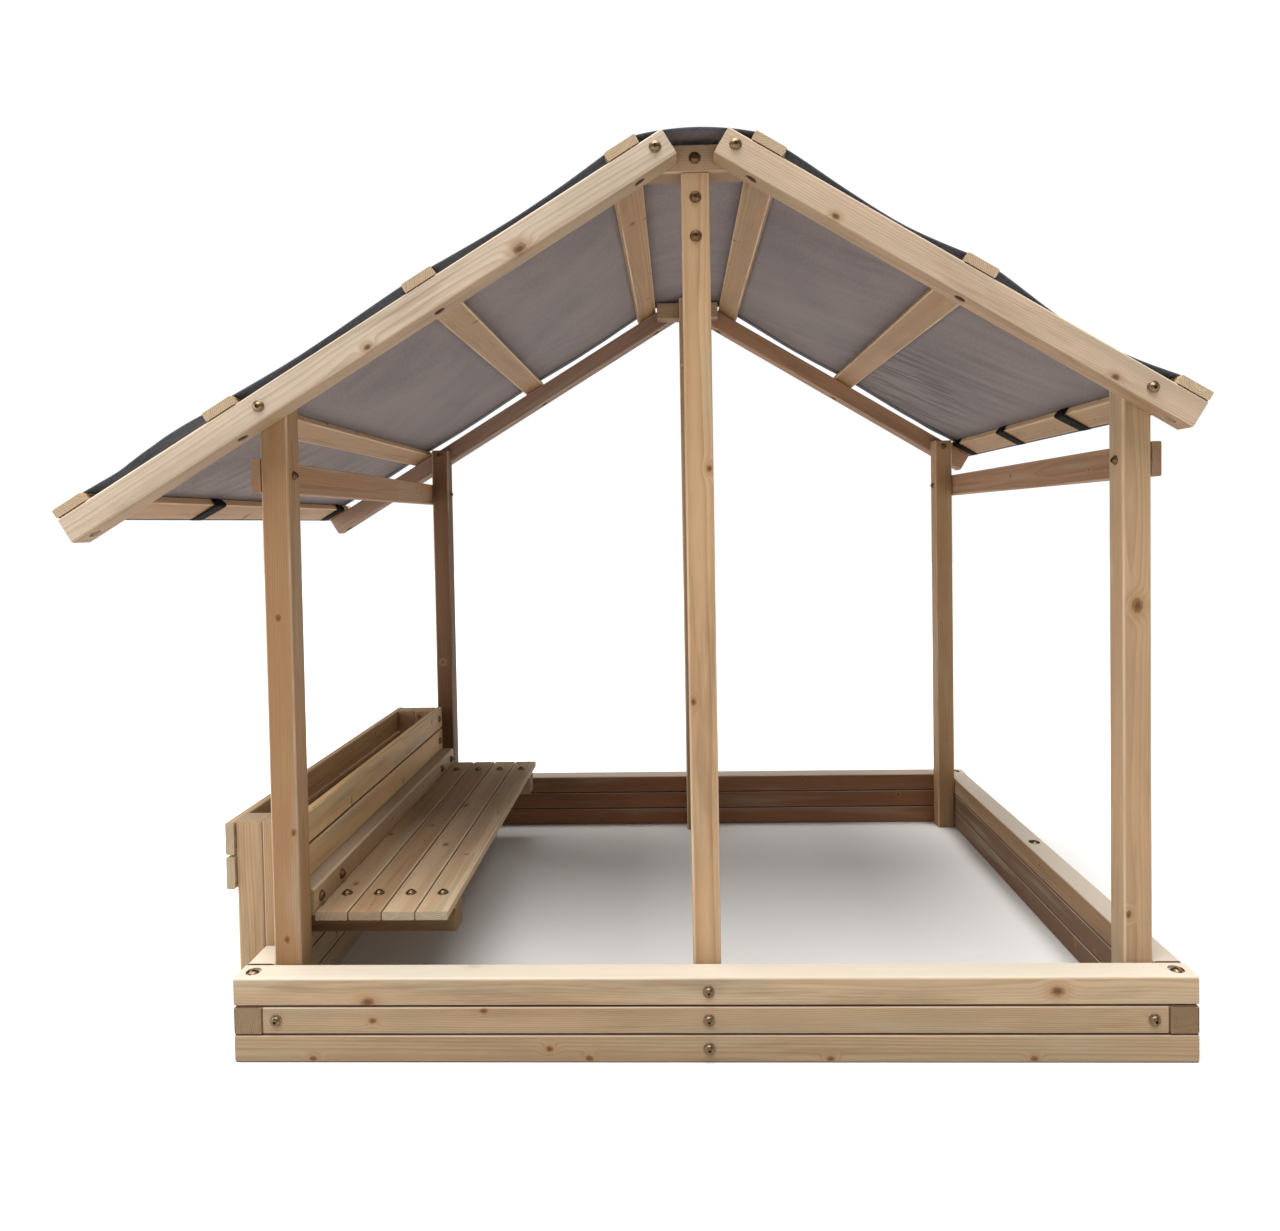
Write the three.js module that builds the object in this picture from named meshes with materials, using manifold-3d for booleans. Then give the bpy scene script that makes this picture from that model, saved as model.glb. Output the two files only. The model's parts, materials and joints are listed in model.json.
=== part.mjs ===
// A timber sandbox with a cloth cover. The open box has walls of three stacked square timbers. Six posts stand
// inside the walls and carry two pairs of rafters. Battens lie across the rafters, and a single cloth goes over
// them from eave to eave. A planter hangs outside the left wall and shares its frame with a bench inside.
//
// Units are millimetres, with +X to the right, +Y to the back and +Z up. While it is built, x = 0 is the middle
// of the box, y = 0 the outer face of the front wall, and z = 0 the ground. At the end the whole model moves so
// that its origin is at the bottom centre of its outer box.

import * as THREE from 'three';
import { mergeVertices } from 'three/addons/utils/BufferGeometryUtils.js';
import Module from 'manifold-3d';

const wasm = await Module();
wasm.setup();

// ---- Driving dimensions ----
const BOX_WIDTH = 1500;
const BOX_DEPTH = 1100;
const STOCK = 45; // the square timber of walls, posts and rafters
const STOCK_ROUND = 4.5;
const WALL_LAYERS = 3;
const SLAT_WIDTH = 55; // the flat board of battens, tie rails, planter and bench
const SLAT_THICK = 15;
const SLAT_ROUND = 2.5;
const FIT = 0.3; // the gap between two pieces that touch
const HALF_WIDTH = BOX_WIDTH / 2;
const WALL_HEIGHT = WALL_LAYERS * STOCK;
const POST_OUTER = HALF_WIDTH - STOCK; // the outer face of a corner post, and the inner face of a side wall
const POST_INNER = POST_OUTER - STOCK;

// Roof. Distances "down" are measured down the slope from the line where the rafters' top planes cross.
const PITCH = THREE.MathUtils.degToRad(31.1);
const RIDGE_HEIGHT = 1473;
const RAFTER_TOP_DOWN = 60;
const FIRST_BATTEN_DOWN = 99;
const BATTEN_PITCH = 370;
const BATTENS_PER_SIDE = 3;
const LEFT_EAVE_BATTEN_DOWN = 1122; // the extra batten at the end of the longer left slope
const CORNER_POST_HEIGHT = 1050;
const GUSSET_BOTTOM = 1391;
const GUSSET_HALF_LENGTH = 82;
const SPLICE_LENGTH = 175;
const COUNTERBORE_RADIUS = 10;
const COUNTERBORE_DEPTH = 20;

// Cloth cover
const CLOTH_THICK = 2;
const CLOTH_CLEARANCE = 0.5;
const CLOTH_SAG = 7;
const CLOTH_RIDGE_RISE = 12;
const SAG_STEPS = 6;
const RIDGE_STEPS = 10;

// Tie rails between the corner posts, above head height of a seated child
const TIE_RAIL_BOTTOM = 902;

// Planter and bench
const UNIT_START = 100; // planter and bench reach from here to the same distance from the back
const UPRIGHT_START = 105;
const PLANTER_TOP = 348;
const PLANTER_SLAT_GAP = 4;
const PLANTER_SLATS = ['lower', 'upper'];
const PLANTER_BOTTOM = PLANTER_TOP - 2 * SLAT_WIDTH - PLANTER_SLAT_GAP;
const BENCH_SLATS = 4;
const BENCH_SLAT_PITCH = 57;
const BENCH_EDGE = -POST_INNER + (BENCH_SLATS - 1) * BENCH_SLAT_PITCH + SLAT_WIDTH;
const ARM_TOP = WALL_HEIGHT + STOCK;

// Bolts. The upright ones at the wall's corners are solids; the others have their holes and seats here.
const BOLT_RADIUS = 4;
const BOLT_HOLE_RADIUS = 4.7;
const BOLT_HEAD_RADIUS = 9.5;
const BOLT_HEAD_HEIGHT = 4.5;
const BOLT_HEAD_STEPS = 3;
const BOLT_SEGMENTS = 12;
const NUT_RADIUS = 7;
const NUT_HEIGHT = 6.5;
const NUT_SEAT_RADIUS = 9;
const NUT_SEAT_DEPTH = 12;
const HEAD_SEAT_RADIUS = 12;
const HEAD_SEAT_DEPTH = 5;
const HEAD_BASE = WALL_HEIGHT - HEAD_SEAT_DEPTH + FIT;

const QUARTER = Math.PI / 2;
const HALF = 2 * QUARTER;
const ARC_SEGMENTS = 2;
const MERGE_DISTANCE = 1e-4;
const BORE_OVERRUN = 1;

const WOOD = { roughness: 0.75, metalness: 0 };
const COLOURS = {
  wall: 0xd8bf9a,
  post: 0xc39c72,
  rafter: 0xd2b88f,
  slat: 0xcdb28a,
  hidden: 0xbf9f76,
  cloth: 0x4a4d57,
  bolt: 0x8f8778,
};

// ---- Small tools ----
const sides = [
  { name: 'left', sign: -1 },
  { name: 'right', sign: 1 },
];

/** The two ends of the depth: mirror(y) takes a place measured from that end's outer face. */
const ends = [
  { name: 'front', mirror: (y) => y },
  { name: 'back', mirror: (y) => BOX_DEPTH - y },
];

/** How a shape drawn in X and Y and extruded along Z is turned to run along each axis. */
const turnTo = {
  x: (geometry) => geometry.rotateY(QUARTER),
  y: (geometry) => geometry.rotateX(QUARTER),
  z: (geometry) => geometry,
};

function makeMesh(name, geometry, colour, finish = WOOD) {
  const mesh = new THREE.Mesh(geometry, new THREE.MeshStandardMaterial({ color: colour, ...finish }));
  mesh.name = name;
  return mesh;
}

function roundedSection(width, height, radius) {
  const x = width / 2 - radius;
  const y = height / 2 - radius;
  const section = new THREE.Shape();
  section.absarc(x, y, radius, 0, QUARTER);
  section.absarc(-x, y, radius, QUARTER, HALF);
  section.absarc(-x, -y, radius, HALF, HALF + QUARTER);
  section.absarc(x, -y, radius, HALF + QUARTER, 2 * HALF);
  section.closePath();
  return section;
}

/** A timber that runs along one axis between two opposite corners, with its long edges rounded. */
function timber(name, colour, axis, cornerA, cornerB, round = STOCK_ROUND) {
  const box = new THREE.Box3().setFromPoints([new THREE.Vector3(...cornerA), new THREE.Vector3(...cornerB)]);
  const size = box.getSize(new THREE.Vector3()).subScalar(FIT);
  const width = axis === 'x' ? size.z : size.x;
  const height = axis === 'y' ? size.z : size.y;
  const geometry = new THREE.ExtrudeGeometry(roundedSection(width, height, round), {
    depth: size[axis],
    curveSegments: ARC_SEGMENTS,
    bevelEnabled: false,
  });
  geometry.translate(0, 0, -size[axis] / 2);
  const mesh = makeMesh(name, turnTo[axis](geometry), colour);
  box.getCenter(mesh.position);
  return mesh;
}

function board(name, colour, axis, cornerA, cornerB) {
  return timber(name, colour, axis, cornerA, cornerB, SLAT_ROUND);
}

function asSolid(geometry) {
  const bare = geometry.clone();
  bare.deleteAttribute('normal');
  bare.deleteAttribute('uv');
  const merged = mergeVertices(bare, MERGE_DISTANCE);
  return new wasm.Manifold(
    new wasm.Mesh({
      numProp: 3,
      vertProperties: new Float32Array(merged.attributes.position.array),
      triVerts: new Uint32Array(merged.index.array),
    }),
  );
}

function asGeometry(solid) {
  const { vertProperties, triVerts } = solid.getMesh();
  const geometry = new THREE.BufferGeometry();
  geometry.setAttribute('position', new THREE.BufferAttribute(vertProperties, 3));
  geometry.setIndex(new THREE.BufferAttribute(triVerts, 1));
  geometry.computeVertexNormals();
  return geometry;
}

/** Drills a round hole along an axis, centred on a point given in the same frame as the mesh's position. */
function drill(mesh, centre, axis, radius, length) {
  const drillBit = new THREE.CylinderGeometry(radius, radius, length, BOLT_SEGMENTS);
  drillBit.rotateX(QUARTER);
  turnTo[axis](drillBit);
  drillBit.translate(...new THREE.Vector3(...centre).sub(mesh.position));
  mesh.geometry = asGeometry(asSolid(mesh.geometry).subtract(asSolid(drillBit)));
  return mesh;
}

// ---- Box ----

/** A front or back wall: top and bottom timbers have the full width, and the middle one fits between the sides. */
function crossWall(end) {
  const group = new THREE.Group();
  for (const [layer, level] of ['bottom', 'middle', 'top'].entries()) {
    const reach = level === 'middle' ? POST_OUTER : HALF_WIDTH;
    const base = layer * STOCK;
    const name = `${end.name}_rail_${level}`;
    const low = [-reach, end.mirror(0), base];
    const high = [reach, end.mirror(STOCK), base + STOCK];
    const rail = timber(name, COLOURS.wall, 'x', low, high);
    if (level !== 'middle') boreForCornerBolts(rail, level);
    group.add(rail);
  }
  return group;
}

/** Cuts the two corner bolts' holes in a full-width timber, with the heads' seats above and the nuts' below. */
function boreForCornerBolts(rail, level) {
  for (const { sign } of sides) {
    const x = sign * (HALF_WIDTH - STOCK / 2);
    const { y, z } = rail.position;
    drill(rail, [x, y, z], 'z', BOLT_HOLE_RADIUS, STOCK + BORE_OVERRUN);
    if (level === 'bottom') drill(rail, [x, y, 0], 'z', NUT_SEAT_RADIUS, 2 * NUT_SEAT_DEPTH);
    if (level === 'top') drill(rail, [x, y, WALL_HEIGHT], 'z', HEAD_SEAT_RADIUS, 2 * HEAD_SEAT_DEPTH);
  }
}

/** A side wall: the middle timber runs through to the outer faces, and the others fit between front and back. */
function sideWall(side) {
  const group = new THREE.Group();
  for (const [layer, level] of ['bottom', 'middle', 'top'].entries()) {
    const start = level === 'middle' ? 0 : STOCK;
    const base = layer * STOCK;
    const low = [side.sign * POST_OUTER, start, base];
    const high = [side.sign * HALF_WIDTH, BOX_DEPTH - start, base + STOCK];
    const rail = timber(`${side.name}_rail_${level}`, COLOURS.wall, 'y', low, high);
    if (level === 'middle') {
      for (const end of ends) {
        const centre = [rail.position.x, end.mirror(STOCK / 2), rail.position.z];
        drill(rail, centre, 'z', BOLT_HOLE_RADIUS, STOCK + BORE_OVERRUN);
      }
    }
    if (level === 'top') {
      const mouth = [rail.position.x, BOX_DEPTH / 2, WALL_HEIGHT];
      drill(rail, mouth, 'z', HEAD_SEAT_RADIUS, 2 * HEAD_SEAT_DEPTH);
    }
    group.add(rail);
  }
  return group;
}

/** Half the outline of a domed bolt with its nut, from the foot of the shank up to the crown of the head. */
function boltProfile() {
  const nutBase = NUT_SEAT_DEPTH - NUT_HEIGHT;
  const shankFoot = nutBase - 2;
  const outline = [
    [0, shankFoot],
    [BOLT_RADIUS, shankFoot],
    [BOLT_RADIUS, nutBase],
    [NUT_RADIUS, nutBase],
    [NUT_RADIUS, NUT_SEAT_DEPTH - FIT],
    [BOLT_RADIUS, NUT_SEAT_DEPTH - FIT],
    [BOLT_RADIUS, HEAD_BASE],
  ];
  for (let step = 0; step <= BOLT_HEAD_STEPS; step += 1) {
    const angle = (step / BOLT_HEAD_STEPS) * QUARTER;
    const height = HEAD_BASE + BOLT_HEAD_HEIGHT * Math.sin(angle);
    outline.push([step === BOLT_HEAD_STEPS ? 0 : BOLT_HEAD_RADIUS * Math.cos(angle), height]);
  }
  return outline.map(([radius, height]) => new THREE.Vector2(radius, height));
}

function cornerBolt(end, side) {
  const geometry = new THREE.LatheGeometry(boltProfile(), BOLT_SEGMENTS).rotateX(QUARTER);
  const finish = { roughness: 0.4, metalness: 0.9 };
  const bolt = makeMesh(`corner_bolt_${end.name}_${side.name}`, geometry, COLOURS.bolt, finish);
  bolt.position.set(side.sign * (HALF_WIDTH - STOCK / 2), end.mirror(STOCK / 2), 0);
  return bolt;
}

// ---- Posts and roof ----

/** The posts of one end, inside its wall: two at the corners and a taller one under the ridge. */
function posts(end) {
  const group = new THREE.Group();
  const near = end.mirror(STOCK);
  const far = end.mirror(2 * STOCK);
  for (const side of sides) {
    const foot = [side.sign * POST_INNER, near, 0];
    const head = [side.sign * POST_OUTER, far, CORNER_POST_HEIGHT];
    group.add(timber(`post_${end.name}_${side.name}`, COLOURS.post, 'z', foot, head));
  }
  const foot = [-STOCK / 2, near, 0];
  const head = [STOCK / 2, far, GUSSET_BOTTOM];
  group.add(timber(`post_${end.name}_centre`, COLOURS.post, 'z', foot, head));
  return group;
}

/** The block across the ridge behind a pair of rafters, and the upright block that joins it to the centre post. */
function ridgeJoint(end) {
  const group = new THREE.Group();
  const gussetLow = [-GUSSET_HALF_LENGTH, end.mirror(STOCK), GUSSET_BOTTOM];
  const gussetHigh = [GUSSET_HALF_LENGTH, end.mirror(2 * STOCK), GUSSET_BOTTOM + STOCK];
  group.add(timber(`ridge_gusset_${end.name}`, COLOURS.rafter, 'x', gussetLow, gussetHigh));
  const spliceTop = GUSSET_BOTTOM + STOCK;
  const spliceLow = [-STOCK / 2, end.mirror(2 * STOCK), spliceTop - SPLICE_LENGTH];
  const spliceHigh = [STOCK / 2, end.mirror(3 * STOCK), spliceTop];
  group.add(timber(`ridge_splice_${end.name}`, COLOURS.post, 'z', spliceLow, spliceHigh));
  return group;
}

/** Where each batten of a slope starts, down the slope from the ridge line. */
function battenStarts(side) {
  const starts = [];
  for (let index = 0; index < BATTENS_PER_SIDE; index += 1) {
    starts.push(FIRST_BATTEN_DOWN + index * BATTEN_PITCH);
  }
  if (side.name === 'left') starts.push(LEFT_EAVE_BATTEN_DOWN);
  return starts;
}

function eaveDown(side) {
  return battenStarts(side).at(-1) + SLAT_WIDTH;
}

/** One slope of the roof in its own turned frame: x runs down the slope and z points out of it. */
function roofSlope(side) {
  const group = new THREE.Group();
  group.position.z = RIDGE_HEIGHT;
  group.rotation.y = side.sign * PITCH;
  for (const end of ends) {
    const low = [side.sign * RAFTER_TOP_DOWN, end.mirror(0), -STOCK];
    const high = [side.sign * eaveDown(side), end.mirror(STOCK), 0];
    const rafter = timber(`rafter_${end.name}_${side.name}`, COLOURS.rafter, 'x', low, high);
    for (const start of battenStarts(side)) {
      const mouth = [side.sign * (start + SLAT_WIDTH / 2), end.mirror(STOCK / 2), -STOCK];
      drill(rafter, mouth, 'z', COUNTERBORE_RADIUS, 2 * COUNTERBORE_DEPTH);
    }
    group.add(rafter);
  }
  for (const [index, start] of battenStarts(side).entries()) {
    const low = [side.sign * start, 0, 0];
    const high = [side.sign * (start + SLAT_WIDTH), BOX_DEPTH, SLAT_THICK];
    group.add(board(`roof_batten_${side.name}_${index + 1}`, COLOURS.slat, 'y', low, high));
  }
  return group;
}

function tieRail(side) {
  const low = [side.sign * POST_OUTER, STOCK, TIE_RAIL_BOTTOM];
  const high = [side.sign * (POST_OUTER + SLAT_THICK), BOX_DEPTH - STOCK, TIE_RAIL_BOTTOM + SLAT_WIDTH];
  return board(`tie_rail_${side.name}`, COLOURS.slat, 'y', low, high);
}

// ---- Cloth cover ----

/** A point given down a slope and out of it, in X and Z. */
function onSlope(side, down, out) {
  const x = side.sign * (down * Math.cos(PITCH) + out * Math.sin(PITCH));
  const z = RIDGE_HEIGHT - down * Math.sin(PITCH) + out * Math.cos(PITCH);
  return new THREE.Vector2(x, z);
}

/** The cloth's line over one slope, a clearance above the battens, from the first batten to the foot of the hem. */
function slopeLine(side, clearance) {
  const starts = battenStarts(side);
  const line = [];
  for (const [index, start] of starts.entries()) {
    line.push(onSlope(side, start, SLAT_THICK + clearance));
    const bayStart = start + SLAT_WIDTH;
    const bayLength = starts[index + 1] - bayStart;
    for (let step = 0; step < SAG_STEPS && index < starts.length - 1; step += 1) {
      const share = step / SAG_STEPS;
      const sag = 4 * CLOTH_SAG * share * (1 - share);
      line.push(onSlope(side, bayStart + share * bayLength, SLAT_THICK + clearance - sag));
    }
  }
  line.push(onSlope(side, eaveDown(side) + clearance, SLAT_THICK + clearance));
  line.push(onSlope(side, eaveDown(side) + clearance, 0));
  return line;
}

/** The low arch that the cloth makes over the ridge, between the first battens' top corners. */
function ridgeLine(clearance) {
  const corner = onSlope(sides[1], FIRST_BATTEN_DOWN, SLAT_THICK);
  const radius = (corner.x ** 2 + CLOTH_RIDGE_RISE ** 2) / (2 * CLOTH_RIDGE_RISE);
  const centreHeight = corner.y + CLOTH_RIDGE_RISE - radius;
  const reach = Math.asin(corner.x / radius);
  const line = [];
  for (let step = 0; step <= RIDGE_STEPS; step += 1) {
    const angle = reach * ((2 * step) / RIDGE_STEPS - 1);
    const distance = radius + clearance;
    line.push(new THREE.Vector2(distance * Math.sin(angle), centreHeight + distance * Math.cos(angle)));
  }
  return line;
}

/** The whole line from the left hem over the ridge to the right hem. */
function clothLine(clearance) {
  const [left, right] = sides;
  return [...slopeLine(left, clearance).reverse(), ...ridgeLine(clearance), ...slopeLine(right, clearance)];
}

function canopy() {
  const inner = clothLine(CLOTH_CLEARANCE);
  const outer = clothLine(CLOTH_CLEARANCE + CLOTH_THICK);
  const section = new THREE.Shape([...inner, ...outer.reverse()]);
  const geometry = new THREE.ExtrudeGeometry(section, { depth: BOX_DEPTH, bevelEnabled: false });
  const mesh = makeMesh('canopy', turnTo.y(geometry), COLOURS.cloth, { roughness: 0.9, metalness: 0 });
  mesh.position.y = BOX_DEPTH;
  return mesh;
}

// ---- Planter and bench ----

/** The two uprights of one end of the planter: the outer one stands on the ground, the inner one on the wall. */
function planterUprights(end) {
  const group = new THREE.Group();
  const near = end.mirror(UPRIGHT_START);
  const far = end.mirror(UPRIGHT_START + STOCK);
  const outerLow = [-HALF_WIDTH - STOCK, near, 0];
  const outerHigh = [-HALF_WIDTH, far, PLANTER_TOP];
  group.add(timber(`planter_upright_${end.name}_outer`, COLOURS.post, 'z', outerLow, outerHigh));
  const innerLow = [-HALF_WIDTH, near, WALL_HEIGHT];
  const innerHigh = [-POST_OUTER, far, PLANTER_TOP];
  group.add(timber(`planter_upright_${end.name}_inner`, COLOURS.post, 'z', innerLow, innerHigh));
  return group;
}

/** Drills a bolt's hole through a board near each end of the unit, at a distance from the box's outer face. */
function boreForSlatBolts(slat, axis, distance) {
  for (const end of ends) {
    const { x, z } = slat.position;
    drill(slat, [x, end.mirror(distance), z], axis, BOLT_HOLE_RADIUS, SLAT_THICK + BORE_OVERRUN);
  }
  return slat;
}

/** The planter's long sides: two boards outside the outer uprights, and two that are the bench's backrest. */
function planterSides() {
  const group = new THREE.Group();
  const outerFace = -HALF_WIDTH - STOCK - SLAT_THICK;
  const backrestFace = -POST_OUTER + SLAT_THICK;
  const boltDistance = UPRIGHT_START + STOCK / 2;
  for (const [index, level] of PLANTER_SLATS.entries()) {
    const base = PLANTER_BOTTOM + index * (SLAT_WIDTH + PLANTER_SLAT_GAP);
    const top = base + SLAT_WIDTH;
    const outerLow = [outerFace, UNIT_START, base];
    const outerHigh = [outerFace + SLAT_THICK, BOX_DEPTH - UNIT_START, top];
    const outer = board(`planter_slat_${level}`, COLOURS.slat, 'y', outerLow, outerHigh);
    group.add(boreForSlatBolts(outer, 'x', boltDistance));
    const backrestLow = [-POST_OUTER, UNIT_START, base];
    const backrestHigh = [backrestFace, BOX_DEPTH - UNIT_START, top];
    const backrest = board(`backrest_slat_${level}`, COLOURS.slat, 'y', backrestLow, backrestHigh);
    group.add(boreForSlatBolts(backrest, 'x', boltDistance));
  }
  return group;
}

/** The planter's floor, and the short blocks that carry it on the side wall and clamp the bench's arms. */
function planterFloor() {
  const group = new THREE.Group();
  const start = UPRIGHT_START + STOCK;
  const floorLow = [-HALF_WIDTH - STOCK, start, PLANTER_BOTTOM];
  const floorHigh = [-POST_OUTER, BOX_DEPTH - start, PLANTER_BOTTOM + SLAT_THICK];
  group.add(board('planter_floor', COLOURS.hidden, 'y', floorLow, floorHigh));
  for (const end of ends) {
    const low = [-HALF_WIDTH, end.mirror(start + STOCK), WALL_HEIGHT];
    const high = [-POST_OUTER, end.mirror(start + 2 * STOCK), PLANTER_BOTTOM];
    group.add(timber(`bench_block_${end.name}`, COLOURS.hidden, 'z', low, high));
  }
  return group;
}

function bench() {
  const group = new THREE.Group();
  const railLow = [-POST_OUTER, UNIT_START, PLANTER_BOTTOM - STOCK];
  const railHigh = [-POST_INNER, BOX_DEPTH - UNIT_START, PLANTER_BOTTOM];
  group.add(timber('bench_rail', COLOURS.post, 'y', railLow, railHigh));
  const armStart = UPRIGHT_START + STOCK;
  for (const end of ends) {
    const low = [-HALF_WIDTH, end.mirror(armStart), WALL_HEIGHT];
    const high = [BENCH_EDGE, end.mirror(armStart + STOCK), ARM_TOP];
    group.add(timber(`bench_arm_${end.name}`, COLOURS.post, 'x', low, high));
  }
  for (let index = 0; index < BENCH_SLATS; index += 1) {
    const x = -POST_INNER + index * BENCH_SLAT_PITCH;
    const low = [x, UNIT_START, ARM_TOP];
    const high = [x + SLAT_WIDTH, BOX_DEPTH - UNIT_START, ARM_TOP + SLAT_THICK];
    const slat = board(`bench_slat_${index + 1}`, COLOURS.slat, 'y', low, high);
    group.add(boreForSlatBolts(slat, 'z', armStart + STOCK / 2));
  }
  return group;
}

// ---- The whole object ----
const sandbox = new THREE.Group();
for (const end of ends) {
  sandbox.add(crossWall(end), posts(end), ridgeJoint(end), planterUprights(end));
  for (const side of sides) sandbox.add(cornerBolt(end, side));
}
for (const side of sides) sandbox.add(sideWall(side), roofSlope(side), tieRail(side));
sandbox.add(canopy(), planterSides(), planterFloor(), bench());

const outerBox = new THREE.Box3().setFromObject(sandbox, true);
const middle = outerBox.getCenter(new THREE.Vector3());
sandbox.position.set(-middle.x, -middle.y, -outerBox.min.z);

export default sandbox;
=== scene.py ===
# The looks of a timber sandbox with a cloth cover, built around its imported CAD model.
#
# The CAD timbers stay and get a pine material each, with the grain along the piece. A sewn cloth replaces
# the plain CAD sheet, and detailed corner bolts replace the plain ones. The straps and the other bolts have
# no CAD solid. Lengths are in metres, in the CAD frame: +X to the right, +Y to the back, +Z up.

import json
import math
import random
from collections import namedtuple

import bmesh
import bpy
from mathutils import Matrix, Vector, noise


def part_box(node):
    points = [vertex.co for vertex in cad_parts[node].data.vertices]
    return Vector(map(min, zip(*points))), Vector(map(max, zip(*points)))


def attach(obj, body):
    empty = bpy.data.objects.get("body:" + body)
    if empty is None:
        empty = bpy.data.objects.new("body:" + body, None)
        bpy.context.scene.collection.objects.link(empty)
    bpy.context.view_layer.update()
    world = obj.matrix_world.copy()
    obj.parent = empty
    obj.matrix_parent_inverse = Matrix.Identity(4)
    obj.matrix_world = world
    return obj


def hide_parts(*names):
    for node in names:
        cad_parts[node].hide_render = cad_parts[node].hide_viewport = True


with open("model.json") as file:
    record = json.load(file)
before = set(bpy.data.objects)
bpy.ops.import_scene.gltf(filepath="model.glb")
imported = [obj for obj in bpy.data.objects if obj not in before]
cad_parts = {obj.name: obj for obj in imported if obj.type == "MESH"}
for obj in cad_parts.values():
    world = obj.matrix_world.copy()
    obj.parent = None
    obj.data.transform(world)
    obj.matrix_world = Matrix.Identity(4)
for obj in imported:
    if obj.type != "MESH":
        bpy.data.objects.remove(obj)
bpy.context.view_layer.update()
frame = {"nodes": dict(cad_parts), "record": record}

NODES = frame["nodes"]
SLOT_OF = {entry["node"]: entry["material_slot"] for entry in frame["record"]["subparts"]}
MM = 0.001


# ---- Places taken from the frame ----
def centre_of(node):
    low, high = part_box(node)
    return (low + high) / 2


def size_of(node):
    low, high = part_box(node)
    return high - low


BOARD_WIDTH = size_of("tie_rail_left").z
BOARD_THICK = size_of("tie_rail_left").x
STOCK = size_of("post_front_centre").x
MIDDLE_X = centre_of("front_rail_bottom").x
FRONT_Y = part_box("front_rail_bottom")[0].y
BACK_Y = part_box("back_rail_bottom")[1].y
DEPTH = BACK_Y - FRONT_Y


def mirror_y(y):
    """The place as far from the back wall's outer face as y is from the front wall's."""
    return FRONT_Y + BACK_Y - y


class Slope:
    """One slope of the roof. A place on it is so far down from the ridge and so far out of the rafters."""

    def __init__(self, name, sign, batten_count):
        self.name = name
        self.battens = [f"roof_batten_{name}_{index + 1}" for index in range(batten_count)]
        first, last = centre_of(self.battens[0]), centre_of(self.battens[-1])
        pitch = math.atan2(first.z - last.z, abs(last.x - first.x))
        self.down_axis = Vector((sign * math.cos(pitch), 0, -math.sin(pitch)))
        self.out_axis = Vector((sign * math.sin(pitch), 0, math.cos(pitch)))
        foot = first - self.out_axis * BOARD_THICK / 2
        down = abs(foot.x - MIDDLE_X) / math.cos(pitch)
        self.ridge = Vector((MIDDLE_X, 0, (foot - self.down_axis * down).z))

    def place(self, down, y, out):
        point = self.ridge + self.down_axis * down + self.out_axis * out
        return Vector((point.x, y, point.z))

    def down_of(self, node):
        return (centre_of(node) - self.ridge).dot(self.down_axis)


LEFT = Slope("left", -1, 4)
RIGHT = Slope("right", 1, 3)


def link_new(name, data):
    """A new object with this data, in the scene."""
    made = bpy.data.objects.new(name, data)
    bpy.context.scene.collection.objects.link(made)
    return made


# ---- Node trees ----
def srgb(red, green, blue):
    """A colour given as display values from 0 to 255, as the linear values that shaders take."""
    return tuple(((value / 255 + 0.055) / 1.055) ** 2.4 for value in (red, green, blue)) + (1.0,)


class Graph:
    """A short way to write a node tree: each call adds a node and returns the output that is used."""

    def __init__(self, tree):
        self.tree = tree

    def node(self, kind, inputs=None, **settings):
        made = self.tree.nodes.new(kind)
        for name, value in settings.items():
            setattr(made, name, value)
        for socket, value in (inputs or {}).items():
            if isinstance(value, bpy.types.NodeSocket):
                self.tree.links.new(value, made.inputs[socket])
            else:
                made.inputs[socket].default_value = value
        return made

    def math(self, operation, *values, clamp=False):
        inputs = dict(enumerate(values))
        return self.node("ShaderNodeMath", inputs, operation=operation, use_clamp=clamp).outputs[0]

    def vector(self, operation, *values):
        made = self.node("ShaderNodeVectorMath", dict(enumerate(values)), operation=operation)
        return made.outputs["Value" if operation in ("LENGTH", "DISTANCE", "DOT_PRODUCT") else "Vector"]

    def rise(self, value, low, high, start=0.0, end=1.0):
        """Goes smoothly from start to end as value goes from low to high."""
        inputs = {"Value": value, "From Min": low, "From Max": high, "To Min": start, "To Max": end}
        return self.node("ShaderNodeMapRange", inputs, interpolation_type="SMOOTHSTEP").outputs[0]

    def noise(self, place, scales, detail=2.0, roughness=0.5):
        """Noise with its own number of waves per metre along each axis."""
        stretched = self.vector("MULTIPLY", place, scales)
        inputs = {"Vector": stretched, "Scale": 1.0, "Detail": detail, "Roughness": roughness}
        return self.node("ShaderNodeTexNoise", inputs).outputs[0]

    def mix(self, share, first, second, blend="MIX"):
        inputs = {0: share, 6: first, 7: second}
        return self.node("ShaderNodeMix", inputs, data_type="RGBA", blend_type=blend).outputs[2]

    def split(self, vector):
        return self.node("ShaderNodeSeparateXYZ", {0: vector}).outputs

    def bump(self, height, distance, strength=1.0):
        inputs = {"Height": height, "Distance": distance, "Strength": strength}
        return self.node("ShaderNodeBump", inputs).outputs[0]


def new_group(name, inputs, outputs):
    """A node group with the named sockets, its graph and its inputs."""
    tree = bpy.data.node_groups.new(name, "ShaderNodeTree")
    for label, kind in inputs.items():
        tree.interface.new_socket(name=label, in_out="INPUT", socket_type=kind)
    for label, kind in outputs.items():
        tree.interface.new_socket(name=label, in_out="OUTPUT", socket_type=kind)
    graph = Graph(tree)
    return tree, graph, graph.node("NodeGroupInput").outputs


def new_material(name):
    """A material with an empty Principled shader, its graph and that shader."""
    material = bpy.data.materials.new(name)
    material.use_nodes = True
    material.node_tree.nodes.clear()
    graph = Graph(material.node_tree)
    shader = graph.node("ShaderNodeBsdfPrincipled")
    graph.node("ShaderNodeOutputMaterial", {"Surface": shader.outputs[0]})
    return material, graph, shader


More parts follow.
